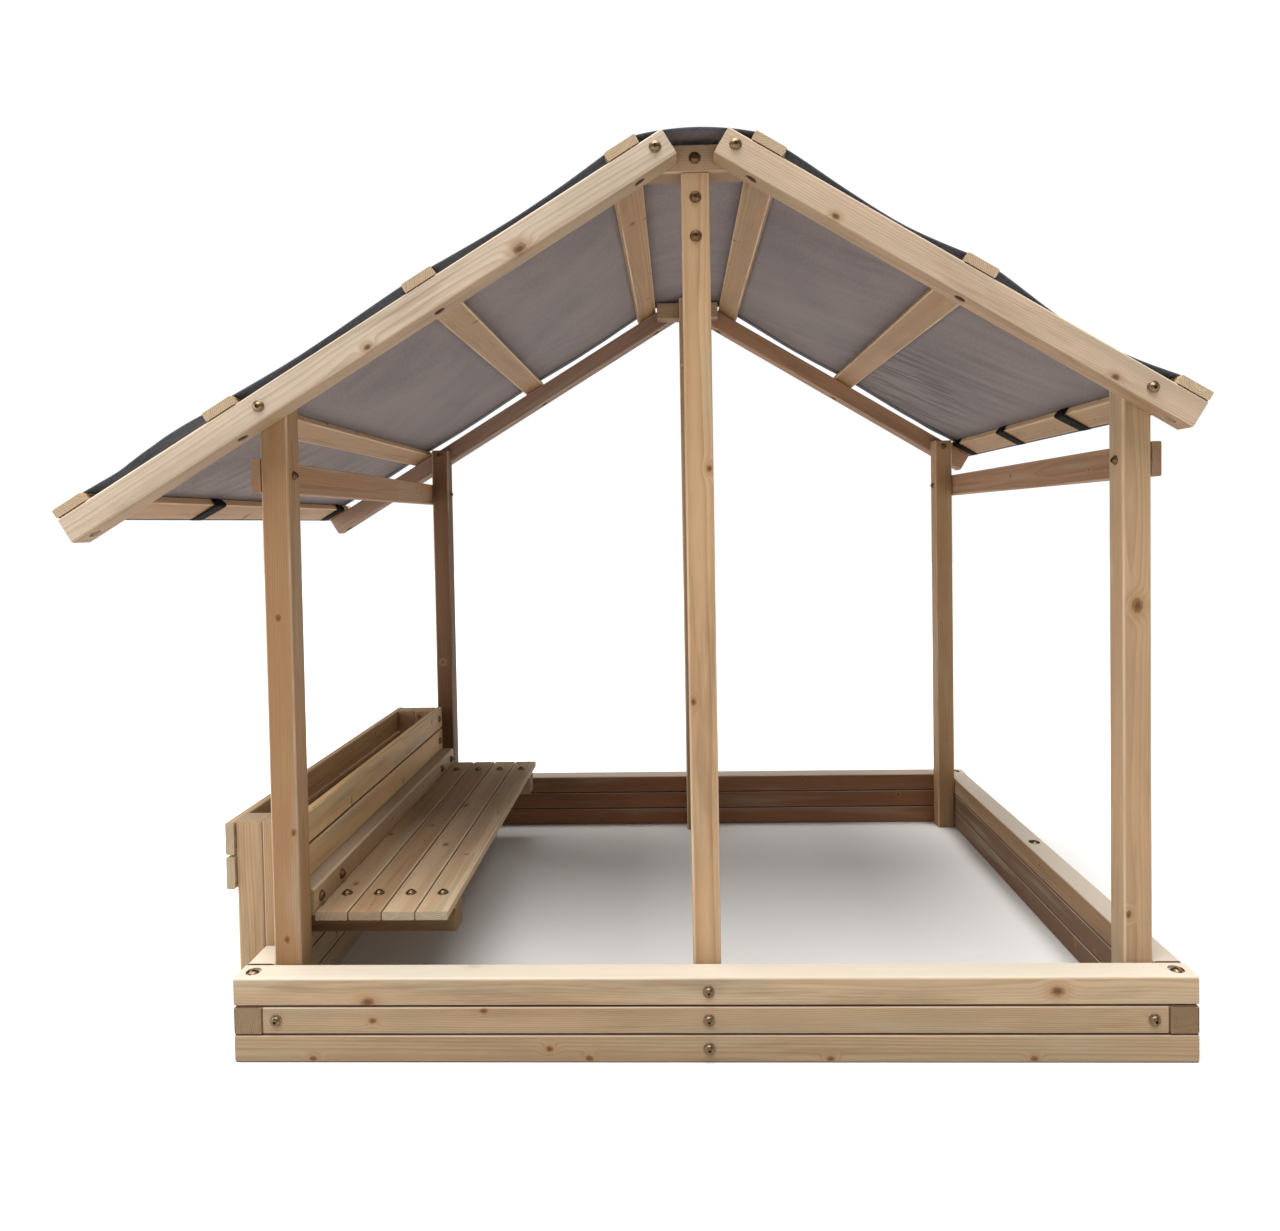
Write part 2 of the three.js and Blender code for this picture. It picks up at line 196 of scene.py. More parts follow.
def connect(graph, shader, **sockets):
    """Links outputs to the shader's sockets, where a name's underscores stand for spaces."""
    for name, output in sockets.items():
        graph.tree.links.new(output, shader.inputs[name.replace("_", " ")])


# ---- Pine ----
RING_WIDTH = 3.4 * MM
PITH_WANDER = (22 * MM, -14 * MM)  # how far the pith strays, along the timber's second and third axes
RING_SWELL = 2.4  # how many rings a knot pushes aside
BRANCHES_PER_METRE = (1.5, 6.0)  # the large ones and the small ones
LARGE_BRANCH = 9 * MM
SMALL_BRANCH_SHARE = 0.6
BRANCH_FAN = 1.7  # the angle that the branches spread over, in radians
BARE_SHARE = 0.3  # the share of branch places that have no branch
FAR_FROM_KNOTS = 30.0  # in knot radii
KNOT_STRETCH = (0.7, 1, 1)  # knots are longer along the grain
PITH_DISTANCES = (14, 46)  # in millimetres from the timber's middle
GRAIN_RELIEF = 0.35 * MM
EASED_EDGE = 1.3 * MM
WELD_REACH = 0.01 * MM
Pine = namedtuple("Pine", "pale deep streak")
PINES = {
    "wall_timber": Pine(srgb(170, 148, 119), srgb(134, 107, 77), srgb(152, 124, 95)),
    "post_timber": Pine(srgb(174, 144, 110), srgb(137, 104, 70), srgb(158, 124, 91)),
    "rafter_timber": Pine(srgb(184, 163, 140), srgb(151, 123, 94), srgb(170, 141, 118)),
    "slat_board": Pine(srgb(178, 153, 122), srgb(134, 105, 74), srgb(156, 124, 94)),
}
WEATHERED = srgb(150, 146, 126)
# Painted light and shade: upward faces are mixed towards the first colour, and undersides are multiplied by
# the second.
TOP_LIGHT_COLOUR = srgb(204, 197, 184)
UNDERSIDE_SHADE = srgb(200, 187, 168)
# A dark brown for the late wood on sawn ends, and for the painted shade in seams and bores.
END_RING_AND_SHADE_BROWN = srgb(76, 40, 12)
SEAM_SHADE_REACH = (0.91, 0.945)  # where the painted seam shade starts and where it is full, as shares of a timber's half height
# How far the painted shade round a sawn end's edges reaches, and how dark the painted shade gets.
OUTLINE_REACH = (0.9, 0.97)
SEAM_SHADE = 0.9
BORE_DEPTHS = (0.4 * MM, 4 * MM)  # where a bore's painted shade starts and where it is darkest
BORE_SHADE = 0.88
BORE_END = 25 * MM
# How far each kind's upward faces are painted paler, as painted light from above.
TOP_LIGHT_SHARES = {"wall_timber": 0.6, "post_timber": 0.3, "rafter_timber": 0.5, "slat_board": 0.0}
SAWN = {
    "wall_timber": srgb(120, 101, 75),
    "post_timber": srgb(150, 128, 100),
    "rafter_timber": srgb(164, 148, 125),
    "slat_board": srgb(164, 148, 125),
}
# Some timbers are lighter, darker or redder than the rest of their kind, partly in their own colour and
# partly as painted light and shade.
# Timbers in shade are darker as painted shade: the back wall, the right wall's inner rails, the back posts,
# the gussets, the tie rails, the lower front rails and the front bench boards. The backrest, the battens and
# a few rafters and boards are lighter as painted light.
TONES_AND_PAINTED_LIGHT = {
    "red_brown": (0.65, 0.4, 0.3),
    "dark_brown": (0.35, 0.25, 0.2),
    "rosy_brown": (0.55, 0.45, 0.45),
    "warm_brown": (0.75, 0.55, 0.45),
    "brown": (0.75, 0.65, 0.55),
    "shaded": (0.85, 0.8, 0.75),
    "yellow": (1.25, 1.15, 0.9),
    "pale": (1.2, 1.15, 1.1),
    "painted_light": (1.1, 1.15, 1.2),
}
TONED_AND_PAINTED_LIGHT = {
    "red_brown": ["back_rail_top", "back_rail_middle", "back_rail_bottom"],
    "dark_brown": ["right_rail_middle", "right_rail_bottom", "post_back_left"],
    "rosy_brown": ["rafter_back_left"],
    "warm_brown": ["tie_rail_left", "tie_rail_right", "rafter_back_right"],
    "brown": [
        "right_rail_top", "post_front_left", "post_back_right", "bench_arm_front", "ridge_gusset_front",
        "ridge_gusset_back",
    ],
    "shaded": ["front_rail_middle", "front_rail_bottom", "bench_slat_1", "bench_slat_2"],
    "yellow": ["backrest_slat_upper", "backrest_slat_lower"],
    "pale": LEFT.battens + RIGHT.battens,
    "painted_light": ["rafter_front_left", "bench_slat_3", "bench_slat_4"],
}
TONE_AND_PAINTED_LIGHT_OF = {node: TONES_AND_PAINTED_LIGHT[tone] for tone, nodes in TONED_AND_PAINTED_LIGHT.items() for node in nodes}
KNOT_HEART = srgb(94, 56, 28)
KNOT_RIM = srgb(54, 28, 11)
KNOT_HALO = srgb(148, 110, 70)
STAIN = srgb(112, 84, 58)
# The colour of the rubbed long edges, which also stands for a painted highlight along them.
WORN_AND_HIGHLIT_EDGE = srgb(224, 206, 180)


def branch_distance(graph, along, across, aim, per_metre, largest):
    """How far a point is from the nearest branch, in branch radii. Branches leave the pith at random."""
    cell_place = graph.math("MULTIPLY", along, per_metre)
    cell = graph.node("ShaderNodeTexVoronoi", {"W": cell_place, "Scale": 1.0}, voronoi_dimensions="1D")
    draw = graph.node("ShaderNodeSeparateColor", {0: cell.outputs["Color"]}).outputs
    lengthwise = graph.math("DIVIDE", graph.math("SUBTRACT", cell_place, cell.outputs["W"]), per_metre)
    turn = graph.math("MULTIPLY", graph.math("SUBTRACT", draw[0], 0.5), BRANCH_FAN)
    angle = graph.math("ADD", aim, turn)
    part_y = graph.math("MULTIPLY", across[0], graph.math("SINE", angle))
    part_z = graph.math("MULTIPLY", across[1], graph.math("COSINE", angle))
    sideways = graph.math("SUBTRACT", part_y, part_z)
    squares = graph.math("MULTIPLY", sideways, sideways)
    squares = graph.math("MULTIPLY_ADD", lengthwise, lengthwise, squares)
    radius = graph.math("MULTIPLY", graph.math("SUBTRACT", draw[1], BARE_SHARE), largest)
    radius = graph.math("MAXIMUM", radius, 1e-6)
    return graph.math("DIVIDE", graph.math("SQRT", squares), radius)


def rings_and_knots(graph, given, shifted):
    """How much late wood a place has, and its distance from the nearest knot, in knot radii."""
    # The rings lie round a pith line that leans and wanders beside the timber.
    x, y, z = graph.split(given["Place"])
    lean, pith_y, pith_z = graph.split(given["Pith"])
    wander = graph.math("SUBTRACT", graph.noise(shifted, (1.6, 7, 7)), 0.5)
    off_y = graph.math("SUBTRACT", graph.math("MULTIPLY_ADD", x, lean, y), pith_y)
    off_y = graph.math("MULTIPLY_ADD", wander, PITH_WANDER[0], off_y)
    off_z = graph.math("MULTIPLY_ADD", wander, PITH_WANDER[1], graph.math("SUBTRACT", z, pith_z))
    squares = graph.math("MULTIPLY_ADD", off_y, off_y, graph.math("MULTIPLY", off_z, off_z))
    reach = graph.math("SQRT", squares)

    along = graph.math("ADD", graph.split(shifted)[0], graph.math("MULTIPLY", wander, 6 * MM))
    largest = graph.math("MULTIPLY", given["Branches"], LARGE_BRANCH)
    smaller = graph.math("MULTIPLY", largest, SMALL_BRANCH_SHARE)
    few, many = BRANCHES_PER_METRE
    large = branch_distance(graph, along, (off_y, off_z), given["Aim"], few, largest)
    along = graph.math("ADD", along, 3.7)
    small = branch_distance(graph, along, (off_y, off_z), given["Aim"], many, smaller)
    knot = graph.math("MINIMUM", graph.math("MINIMUM", large, small), given["Knots"])

    swell = graph.math("EXPONENT", graph.math("MULTIPLY", graph.math("MULTIPLY", knot, knot), -0.22))
    swell = graph.math("MULTIPLY", swell, RING_SWELL)
    phase = graph.math("ADD", graph.math("DIVIDE", reach, RING_WIDTH), swell)
    ring = graph.math("FRACT", phase)
    late = graph.math("MULTIPLY", graph.rise(ring, 0.25, 0.92), graph.rise(ring, 0.93, 1.0, 1.0, 0.0))
    number = graph.math("FLOOR", phase)
    year = graph.node("ShaderNodeTexWhiteNoise", {"W": number}, noise_dimensions="1D").outputs["Value"]
    late = graph.math("MULTIPLY", late, graph.math("MULTIPLY_ADD", year, 0.6, 0.4))
    return late, knot


def clear_wood(graph, given, shifted, late, fibre, smudge):
    """The colour between the knots: rings, streaks, grey and damp stains, and fibres."""
    cloud = graph.noise(shifted, (1.1, 26, 26), detail=3.0)
    stain = graph.noise(shifted, (2.5, 30, 30), detail=3.0)
    elsewhere = graph.vector("ADD", shifted, (3.1, 5.7, 2.3))
    damp = graph.noise(elsewhere, (2.2, 24, 24), detail=4.0, roughness=0.62)
    colour = graph.mix(graph.math("MULTIPLY", late, 0.5), given["Pale"], given["Deep"])
    colour = graph.mix(graph.rise(cloud, 0.42, 0.72, 0.0, 0.6), colour, given["Streak"])
    colour = graph.mix(graph.rise(stain, 0.52, 0.74, 0.0, 0.4), colour, WEATHERED)
    colour = graph.mix(graph.rise(damp, 0.53, 0.7, 0.0, 0.42), colour, STAIN)
    shade = graph.math("MULTIPLY_ADD", fibre, 0.34, 0.79)
    shade = graph.math("ADD", shade, graph.rise(smudge, 0.3, 0.7, 0.06, -0.06))
    grey = graph.node("ShaderNodeCombineXYZ", {0: shade, 1: shade, 2: shade}).outputs[0]
    return graph.mix(1.0, colour, grey, "MULTIPLY")


def knotted(graph, colour, knot, shifted, smudge):
    """The colour with each knot's halo, rim and ringed heart, and the masks of the heart and the rim."""
    colour = graph.mix(graph.rise(knot, 0.7, 3.4, 0.6, 0.0), colour, KNOT_HALO)
    ragged = graph.math("MULTIPLY", graph.math("SUBTRACT", graph.noise(shifted, (160, 240, 240)), 0.5), 0.9)
    knot = graph.math("MULTIPLY", knot, graph.math("ADD", ragged, 1.0))
    heart_ring = graph.math("SINE", graph.math("MULTIPLY", knot, 13.0))
    heart_ring = graph.math("MULTIPLY_ADD", heart_ring, 0.5, 0.5)
    heart = graph.mix(graph.math("MULTIPLY", heart_ring, 0.4), KNOT_HEART, KNOT_RIM)
    inside = graph.rise(knot, 0.4, 1.15, 1.0, 0.0)
    colour = graph.mix(graph.math("MULTIPLY", inside, 0.9), colour, heart)
    rim = graph.math("MULTIPLY", graph.rise(knot, 0.6, 0.95), graph.rise(knot, 1.0, 1.35, 1.0, 0.0))
    dark = graph.math("MULTIPLY", rim, graph.math("MULTIPLY", smudge, 0.7))
    return graph.mix(dark, colour, KNOT_RIM), inside, rim


def painted_light(graph, given, colour):
    """Painted light makes the upward faces paler where light falls from above, and painted shade darkens the
    undersides.
    """
    upward = graph.split(graph.node("ShaderNodeNewGeometry").outputs["True Normal"])[2]
    share = graph.math("MULTIPLY", graph.rise(upward, 0.3, 0.9), given["Top_Light"])
    colour = graph.mix(share, colour, TOP_LIGHT_COLOUR)
    shaded_underside = graph.mix(1.0, colour, UNDERSIDE_SHADE, "MULTIPLY")
    return graph.mix(graph.rise(upward, -0.75, -0.35, 1.0, 0.0), colour, shaded_underside)


def sawn_ends(graph, given, colour, shifted, late):
    """The colour with its duller sawn ends, and the masks of the ends and of the saw's marks."""
    normal = graph.node("ShaderNodeNewGeometry").outputs["True Normal"]
    facing = graph.math("ABSOLUTE", graph.vector("DOT_PRODUCT", normal, given["Grain"]))
    end = graph.rise(facing, 0.75, 0.92)
    saw = graph.noise(shifted, (200, 420, 90), detail=2.0)
    end_colour = graph.mix(graph.math("MULTIPLY", late, 0.5), given["Sawn"], END_RING_AND_SHADE_BROWN)
    share = graph.math("MULTIPLY", end, graph.math("MULTIPLY_ADD", saw, 0.3, 0.7))
    return graph.mix(share, colour, end_colour), end, saw


def seam_shade_mask(graph, given, end, edges):
    """Where painted shade darkens the wood: in the seams between stacked timbers, at butted ends and round
    the other ends.
    """
    low_seam, high_seam, butt = graph.split(given["Seams"])
    level = graph.vector("DOT_PRODUCT", given["Place"], given["Up"])
    start, full = SEAM_SHADE_REACH
    above = graph.math("MULTIPLY", graph.rise(level, start, full), high_seam)
    below = graph.math("MULTIPLY", graph.rise(level, -full, -start, 1.0, 0.0), low_seam)
    end_gap = distance_inside(graph, given, 0)
    butted = graph.math("MULTIPLY", graph.rise(end_gap, 1 * MM, 2 * MM, 1.0, 0.0), butt)
    outline = graph.math("MULTIPLY", graph.rise(graph.math("MAXIMUM", *edges), *OUTLINE_REACH), end)
    outline = graph.math("MULTIPLY", outline, low_seam)
    painted_shade = above
    for other in (below, butted, outline):
        painted_shade = graph.math("MAXIMUM", painted_shade, other)
    return painted_shade


def distance_inside(graph, given, axis):
    """How far a place is inside the timber's outer faces along one of the timber's axes."""
    away = graph.math("ABSOLUTE", graph.split(given["Place"])[axis])
    return graph.math("SUBTRACT", graph.split(given["Half"])[axis], away)


def bore_shade_mask(graph, given):
    """Where painted shade darkens a surface that lies deep inside the timber, as only a bore's does."""
    far_from_end = graph.math("MULTIPLY_ADD", distance_inside(graph, given, 0), 0.5, -BORE_END)
    inset = graph.math("MINIMUM", distance_inside(graph, given, 1), distance_inside(graph, given, 2))
    return graph.rise(graph.math("MINIMUM", inset, far_from_end), *BORE_DEPTHS, 0.0, BORE_SHADE)


def pine_group():
    """Pine as a solid: rings round a pith, branches that leave it as knots, streaks, fibres and wear, with
    painted light on upward faces and edges and painted shade on undersides, seams and bores.
    """
    vector, number, colour = "NodeSocketVector", "NodeSocketFloat", "NodeSocketColor"
    inputs = dict.fromkeys(("Place", "Shift", "Pith", "Half", "Grain", "Up", "Seams"), vector)
    inputs.update(dict.fromkeys(("Aim", "Branches", "Knots", "Top_Light"), number))
    inputs.update(dict.fromkeys(("Pale", "Deep", "Streak", "Sawn"), colour))
    outputs = {"Color": colour, "Roughness": number, "Height": number}
    tree, graph, given = new_group("pine", inputs, outputs)
    shifted = graph.vector("ADD", given["Place"], given["Shift"])
    fibre = graph.noise(shifted, (22, 1300, 1300), detail=3.0)
    smudge = graph.noise(shifted, (5, 16, 16), detail=3.0, roughness=0.6)
    late, knot = rings_and_knots(graph, given, shifted)
    colour = clear_wood(graph, given, shifted, late, fibre, smudge)
    colour, inside, rim = knotted(graph, colour, knot, shifted, smudge)
    colour = painted_light(graph, given, colour)
    colour, end, saw = sawn_ends(graph, given, colour, shifted, late)

    # The long edges are a little rubbed, and paler still as a painted highlight along the arrises.
    places, halves = graph.split(given["Place"]), graph.split(given["Half"])
    edges = [graph.math("DIVIDE", graph.math("ABSOLUTE", places[axis]), halves[axis]) for axis in (1, 2)]
    edge = graph.rise(graph.math("MINIMUM", *edges), 0.8, 0.97)
    worn_and_highlit = graph.math("MULTIPLY", edge, graph.rise(smudge, 0.35, 0.65, 0.1, 0.45))
    colour = graph.mix(worn_and_highlit, colour, WORN_AND_HIGHLIT_EDGE)
    # Painted shade darkens the seams, the butted ends and the outlines round the sawn ends.
    painted_shade = graph.math("MULTIPLY", seam_shade_mask(graph, given, end, edges), SEAM_SHADE)
    colour = graph.mix(painted_shade, colour, END_RING_AND_SHADE_BROWN)
    # Painted shade darkens the bores.
    colour = graph.mix(bore_shade_mask(graph, given), colour, END_RING_AND_SHADE_BROWN)

    rough = graph.math("MULTIPLY_ADD", fibre, 0.22, graph.math("MULTIPLY_ADD", end, 0.18, 0.48), clamp=True)
    height = graph.math("MULTIPLY_ADD", late, 0.35, graph.math("MULTIPLY", fibre, 0.9))
    height = graph.math("MULTIPLY_ADD", rim, -0.8, graph.math("MULTIPLY_ADD", inside, 0.5, height))
    height = graph.math("MULTIPLY_ADD", graph.math("MULTIPLY", end, saw), 1.2, height)
    graph.node("NodeGroupOutput", {"Color": colour, "Roughness": rough, "Height": height})
    return tree


PINE_GROUP = pine_group()


def solid_frame(node):
    """A timber's centre, its axes with the grain's first, and half its size along each."""
    slope = LEFT if node.endswith("_left") or "_left_" in node else RIGHT
    tilted = node.startswith(("rafter_", "roof_batten_"))
    axes = [Vector((1, 0, 0)), Vector((0, 1, 0)), Vector((0, 0, 1))]
    if tilted:
        axes[0], axes[2] = slope.down_axis, slope.out_axis
    spans = []
    for axis in axes:
        reach = [vertex.co.dot(axis) for vertex in NODES[node].data.vertices]
        spans.append((min(reach), max(reach)))
    order = sorted(range(3), key=lambda index: spans[index][0] - spans[index][1])
    axes = [axes[index] for index in order]
    spans = [spans[index] for index in order]
    centre = sum((axis * (low + high) / 2 for axis, (low, high) in zip(axes, spans)), Vector())
    if axes[0].cross(axes[1]).dot(axes[2]) < 0:
        axes[2] = -axes[2]
    return centre, axes, Vector((high - low) / 2 for low, high in spans)


FACES = {"front": Vector((0, -1, 0)), "top": Vector((0, 0, 1))}
# The few knots that catch the eye first: the face, roughly how far along from the left, the front, the foot
# or the ridge, how high or how far to the right, and the size. The other timbers have knots at random.
KNOT_LEVELS = {"low": -0.7, "middle": 0.0, "high": 0.7}
KNOT_RADII = {"large": 7 * MM, "small": 4 * MM}
KNOTS = {
    "front_rail_top": [
        ("front", 1 / 7, "low", "large"), ("front", 6 / 7, "middle", "large"),
        ("top", 1 / 4, "high", "large"),
    ],
    "front_rail_middle": [("front", 1 / 8, "middle", "small"), ("front", 1 / 4, "high", "small")],
    "front_rail_bottom": [
        ("front", 1 / 12, "low", "small"), ("front", 1 / 3, "middle", "small"),
        ("front", 3 / 8, "low", "small"), ("front", 5 / 8, "low", "small"), ("front", 5 / 6, "low", "small"),
    ],
    "rafter_front_left": [("front", 1 / 4, "low", "large"), ("front", 1 / 2, "low", "small")],
    "rafter_front_right": [("front", 1 / 4, "low", "small"), ("front", 5 / 6, "low", "small")],
    "post_front_left": [
        ("front", 1 / 6, "middle", "small"), ("front", 1 / 3, "high", "small"),
        ("front", 2 / 3, "middle", "small"),
    ],
    "post_front_centre": [("front", 2 / 5, "low", "small"), ("front", 2 / 3, "high", "small")],
    "post_front_right": [("front", 1 / 5, "low", "small"), ("front", 2 / 3, "middle", "large")],
    "bench_slat_1": [("top", 1 / 8, "middle", "small"), ("top", 2 / 5, "low", "small")],
    "bench_slat_3": [("top", 1 / 3, "middle", "small"), ("top", 3 / 5, "low", "small")],
}


def knot_place(axes, half, face, along, level):
    """A knot's place on a timber's face, in the timber's own axes."""
    normal = FACES[face]
    side = normal.cross(axes[0])
    if sum(side) < 0:
        side.negate()
    place = [(2 * along - 1) * half[0]]
    for axis, reach in zip(axes[1:], half[1:]):
        place.append((round(normal.dot(axis)) + KNOT_LEVELS[level] * round(side.dot(axis))) * reach)
    return Vector(place)


def pine_material(node):
    """The pine of one timber, cut from its own place in a tree."""
    centre, axes, half = solid_frame(node)
    draw = random.Random(node)
    pine = PINES[SLOT_OF[node]]
    material, graph, shader = new_material(f"pine_{node}")
    turn = Matrix(axes)  # rows are the timber's axes, so this turns the frame's directions into the timber's
    place = graph.node(
        "ShaderNodeMapping",
        {
            "Vector": graph.node("ShaderNodeTexCoord").outputs["Object"],
            "Rotation": turn.to_euler(),
            "Location": -(turn @ centre),
        },
    ).outputs[0]
    knots = FAR_FROM_KNOTS
    for face, along, level, size in KNOTS.get(node, []):
        spot = knot_place(axes, half, face, along, level)
        away = graph.vector("MULTIPLY", graph.vector("SUBTRACT", place, spot), KNOT_STRETCH)
        away = graph.math("DIVIDE", graph.vector("LENGTH", away), KNOT_RADII[size])
        knots = graph.math("MINIMUM", away, knots)
    light, warm = draw.uniform(0.95, 1.04), draw.uniform(-0.02, 0.02)
    aim = draw.uniform(0, 2 * math.pi)
    pith = draw.uniform(*PITH_DISTANCES) * MM
    up = turn @ Vector((0, 0, 1))
    sawn = SAWN[SLOT_OF[node]]
    if SLOT_OF[node] != "wall_timber":
        sawn = tint(node, light, warm, sawn)
    inputs = {
        "Place": place,
        "Shift": [draw.uniform(-9, 9) for _ in range(3)],
        "Pith": (draw.uniform(-0.02, 0.02), -pith * math.cos(aim), -pith * math.sin(aim)),
        "Aim": aim,
        "Half": half,
        "Grain": axes[0],
        "Branches": 0.0 if node in KNOTS else 1.0,
        "Knots": knots,
        "Pale": tint(node, light, warm, pine.pale),
        "Deep": tint(node, light, warm, pine.deep),
        "Streak": tint(node, light, warm, pine.streak),
        "Sawn": sawn,
        "Top_Light": TOP_LIGHT_SHARES[SLOT_OF[node]],
        "Up": up / sum(abs(part) * reach for part, reach in zip(up, half)),
        "Seams": seams_of(node),
    }
    grain = graph.node("ShaderNodeGroup", node_tree=PINE_GROUP)
    for name, value in inputs.items():
        if isinstance(value, bpy.types.NodeSocket):
            graph.tree.links.new(value, grain.inputs[name])
        else:
            grain.inputs[name].default_value = value
    colour, rough, height = (grain.outputs[name] for name in ("Color", "Roughness", "Height"))
    normal = graph.bump(height, GRAIN_RELIEF, 0.7)
    connect(graph, shader, Base_Color=colour, Roughness=rough, Normal=normal)
    shader.inputs["Specular IOR Level"].default_value = 0.25
    return material


def seams_of(node):
    """Where painted shade darkens a wall timber's seams: along its lower side, its upper side, and its
    butted ends.
    """
    if SLOT_OF[node] != "wall_timber":
        return (0, 0, 0)
    runs_through = node.startswith(("front", "back")) != node.endswith("middle")
    return (1, 0 if node.endswith("top") else 1, 0 if runs_through else 1)


def tint(node, light, warm, colour):
    """The colour as this timber has it: a little lighter or warmer than the next, and of its own tone, which
    is partly painted light and shade.
    """
    own = TONE_AND_PAINTED_LIGHT_OF.get(node, (1, 1, 1))
    shift = (light * (1 + warm), light, light * (1 - warm))
    return tuple(value * share * change for value, share, change in zip(colour, own, shift)) + (1.0,)


def finish_timber(node):
    """Gives a CAD timber its pine, and eased ends."""
    timber = NODES[node]
    timber.data.materials.clear()
    timber.data.materials.append(pine_material(node))
    timber.data.polygons.foreach_set("use_smooth", [True] * len(timber.data.polygons))
    bpy.context.view_layer.objects.active = timber
    bpy.ops.mesh.customdata_custom_splitnormals_clear()
    weld = timber.modifiers.new("weld", "WELD")
    weld.merge_threshold = WELD_REACH
    bevel = timber.modifiers.new("eased_ends", "BEVEL")
    bevel.width = EASED_EDGE
    bevel.segments = 2
    bevel.limit_method = "ANGLE"
    bevel.angle_limit = math.radians(55)
    timber.modifiers.new("flat_faces", "WEIGHTED_NORMAL")


# ---- Meshes ----
def new_object(name, mesh, material):
    """A new piece that rides with the frame."""
    piece = link_new(name, mesh)
    mesh.materials.append(material)
    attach(piece, "root")
    return piece


def mesh_of(name, shape):
    """The mesh of a finished bmesh, which is freed."""
    mesh = bpy.data.meshes.new(name)
    shape.to_mesh(mesh)
    shape.free()
    return mesh


def ring_mesh(name, rings, segments):
    """A closed turned body round Z. Each ring is a height and the radius there at each angle."""
    shape = bmesh.new()
    loops = []
    for height, radius_at in rings:
        loop = []
        for step in range(segments):
            angle = 2 * math.pi * step / segments
            radius = radius_at(angle)
            loop.append(shape.verts.new((radius * math.cos(angle), radius * math.sin(angle), height)))
        loops.append(loop)
    for lower, upper in zip(loops, loops[1:]):
        for step in range(segments):
            after = (step + 1) % segments
            shape.faces.new((lower[step], lower[after], upper[after], upper[step]))
    shape.faces.new(list(reversed(loops[0])))
    shape.faces.new(loops[-1])
    mesh = mesh_of(name, shape)
    mesh.shade_smooth()
    mesh.set_sharp_from_angle(angle=math.radians(38))
    return mesh


def circle(radius):
    """A circle's radius, which is the same at each angle."""
    return lambda angle: radius


def hexagon(apothem):
    """A hexagon's radius at each angle, from half its width across flats."""
    sixth = math.pi / 3
    return lambda angle: apothem / math.cos((angle + sixth / 2) % sixth - sixth / 2)


# ---- Bolts and nuts ----
HEAD_RADIUS = 9.4 * MM
SMALL_HEAD_RADIUS = 7.6 * MM
HEAD_RIM = 0.5 * MM
DOME_SHARE = 0.8  # of the flange's radius
FLANGE_HEIGHT = 1.8 * MM
DOME_HEIGHT = 4.4 * MM
HEAD_SEAT_DEPTH = 5 * MM  # the round seats in the wall's top
COUNTERBORE_DEPTH = 20 * MM  # the seats under the rafters
SOCKET_APOTHEM = 2.5 * MM
SOCKET_RIM = 1.4 * SOCKET_APOTHEM
SOCKET_DEPTH = 3 * MM
SHANK_RADIUS = 3.9 * MM
SHANK_CHAMFER = 0.7 * MM
RAFTER_BOLT_REACH = 61 * MM  # from the middle to the bolts through the ridge block
POST_BOLT_DROP = 16 * MM  # from a post's top
RIDGE_BOLT_PITCH = 60.5 * MM
RIDGE_BOLTS = 3  # in a row down each centre post
SEAT_BOARDS = 4
NUT_APOTHEM = 6.5 * MM
NUT_HEIGHT = 6 * MM
NUT_CHAMFER = 0.8 * MM
NUT_LIFT = 2 * MM  # from the bolt's tip to the nut
CORNER_BOLT_TURN = 0.4
BOLT_SEGMENTS = 36
DOME_STEPS = 7


def head_rings(radius):
    """A flanged, domed head from its flat underside at z = 0 to the floor of its hexagonal socket."""
    dome_radius = radius * DOME_SHARE
    foot = FLANGE_HEIGHT + HEAD_RIM / 2
    top = FLANGE_HEIGHT + DOME_HEIGHT
    rings = [
        (0.0, circle(radius - HEAD_RIM)),
        (HEAD_RIM, circle(radius)),
        (FLANGE_HEIGHT - HEAD_RIM, circle(radius)),
        (FLANGE_HEIGHT, circle(radius - HEAD_RIM)),
        (foot, circle(dome_radius)),
    ]
    for step in range(1, DOME_STEPS):
        angle = step / DOME_STEPS * math.acos(SOCKET_RIM / dome_radius)
        rings.append((foot + (top - foot) * math.sin(angle), circle(dome_radius * math.cos(angle))))
    rings.append((top, circle(SOCKET_RIM)))
    rings.append((top - 0.1 * MM, hexagon(SOCKET_APOTHEM)))
    rings.append((top - SOCKET_DEPTH, hexagon(SOCKET_APOTHEM)))
    return rings


def bolt_mesh(length=0.0, nut_base=None, radius=HEAD_RADIUS):
    """A bolt with its head's underside at z = 0. It can have a shank below, and a nut on the shank."""
    rings = []
    if length:
        rings.append((-length, circle(SHANK_RADIUS - SHANK_CHAMFER)))
        rings.append((-length + SHANK_CHAMFER, circle(SHANK_RADIUS)))
    if nut_base is not None:
        nut_top = nut_base + NUT_HEIGHT
        rings.append((nut_base, circle(SHANK_RADIUS)))
        rings.append((nut_base, circle(NUT_APOTHEM * 0.95)))
        rings.append((nut_base + NUT_CHAMFER, hexagon(NUT_APOTHEM)))
        rings.append((nut_top - NUT_CHAMFER, hexagon(NUT_APOTHEM)))
        rings.append((nut_top, circle(NUT_APOTHEM * 0.95)))
        rings.append((nut_top, circle(SHANK_RADIUS)))
    if length:
        rings.append((0.0, circle(SHANK_RADIUS)))
    return ring_mesh("bolt", rings + head_rings(radius), BOLT_SEGMENTS)


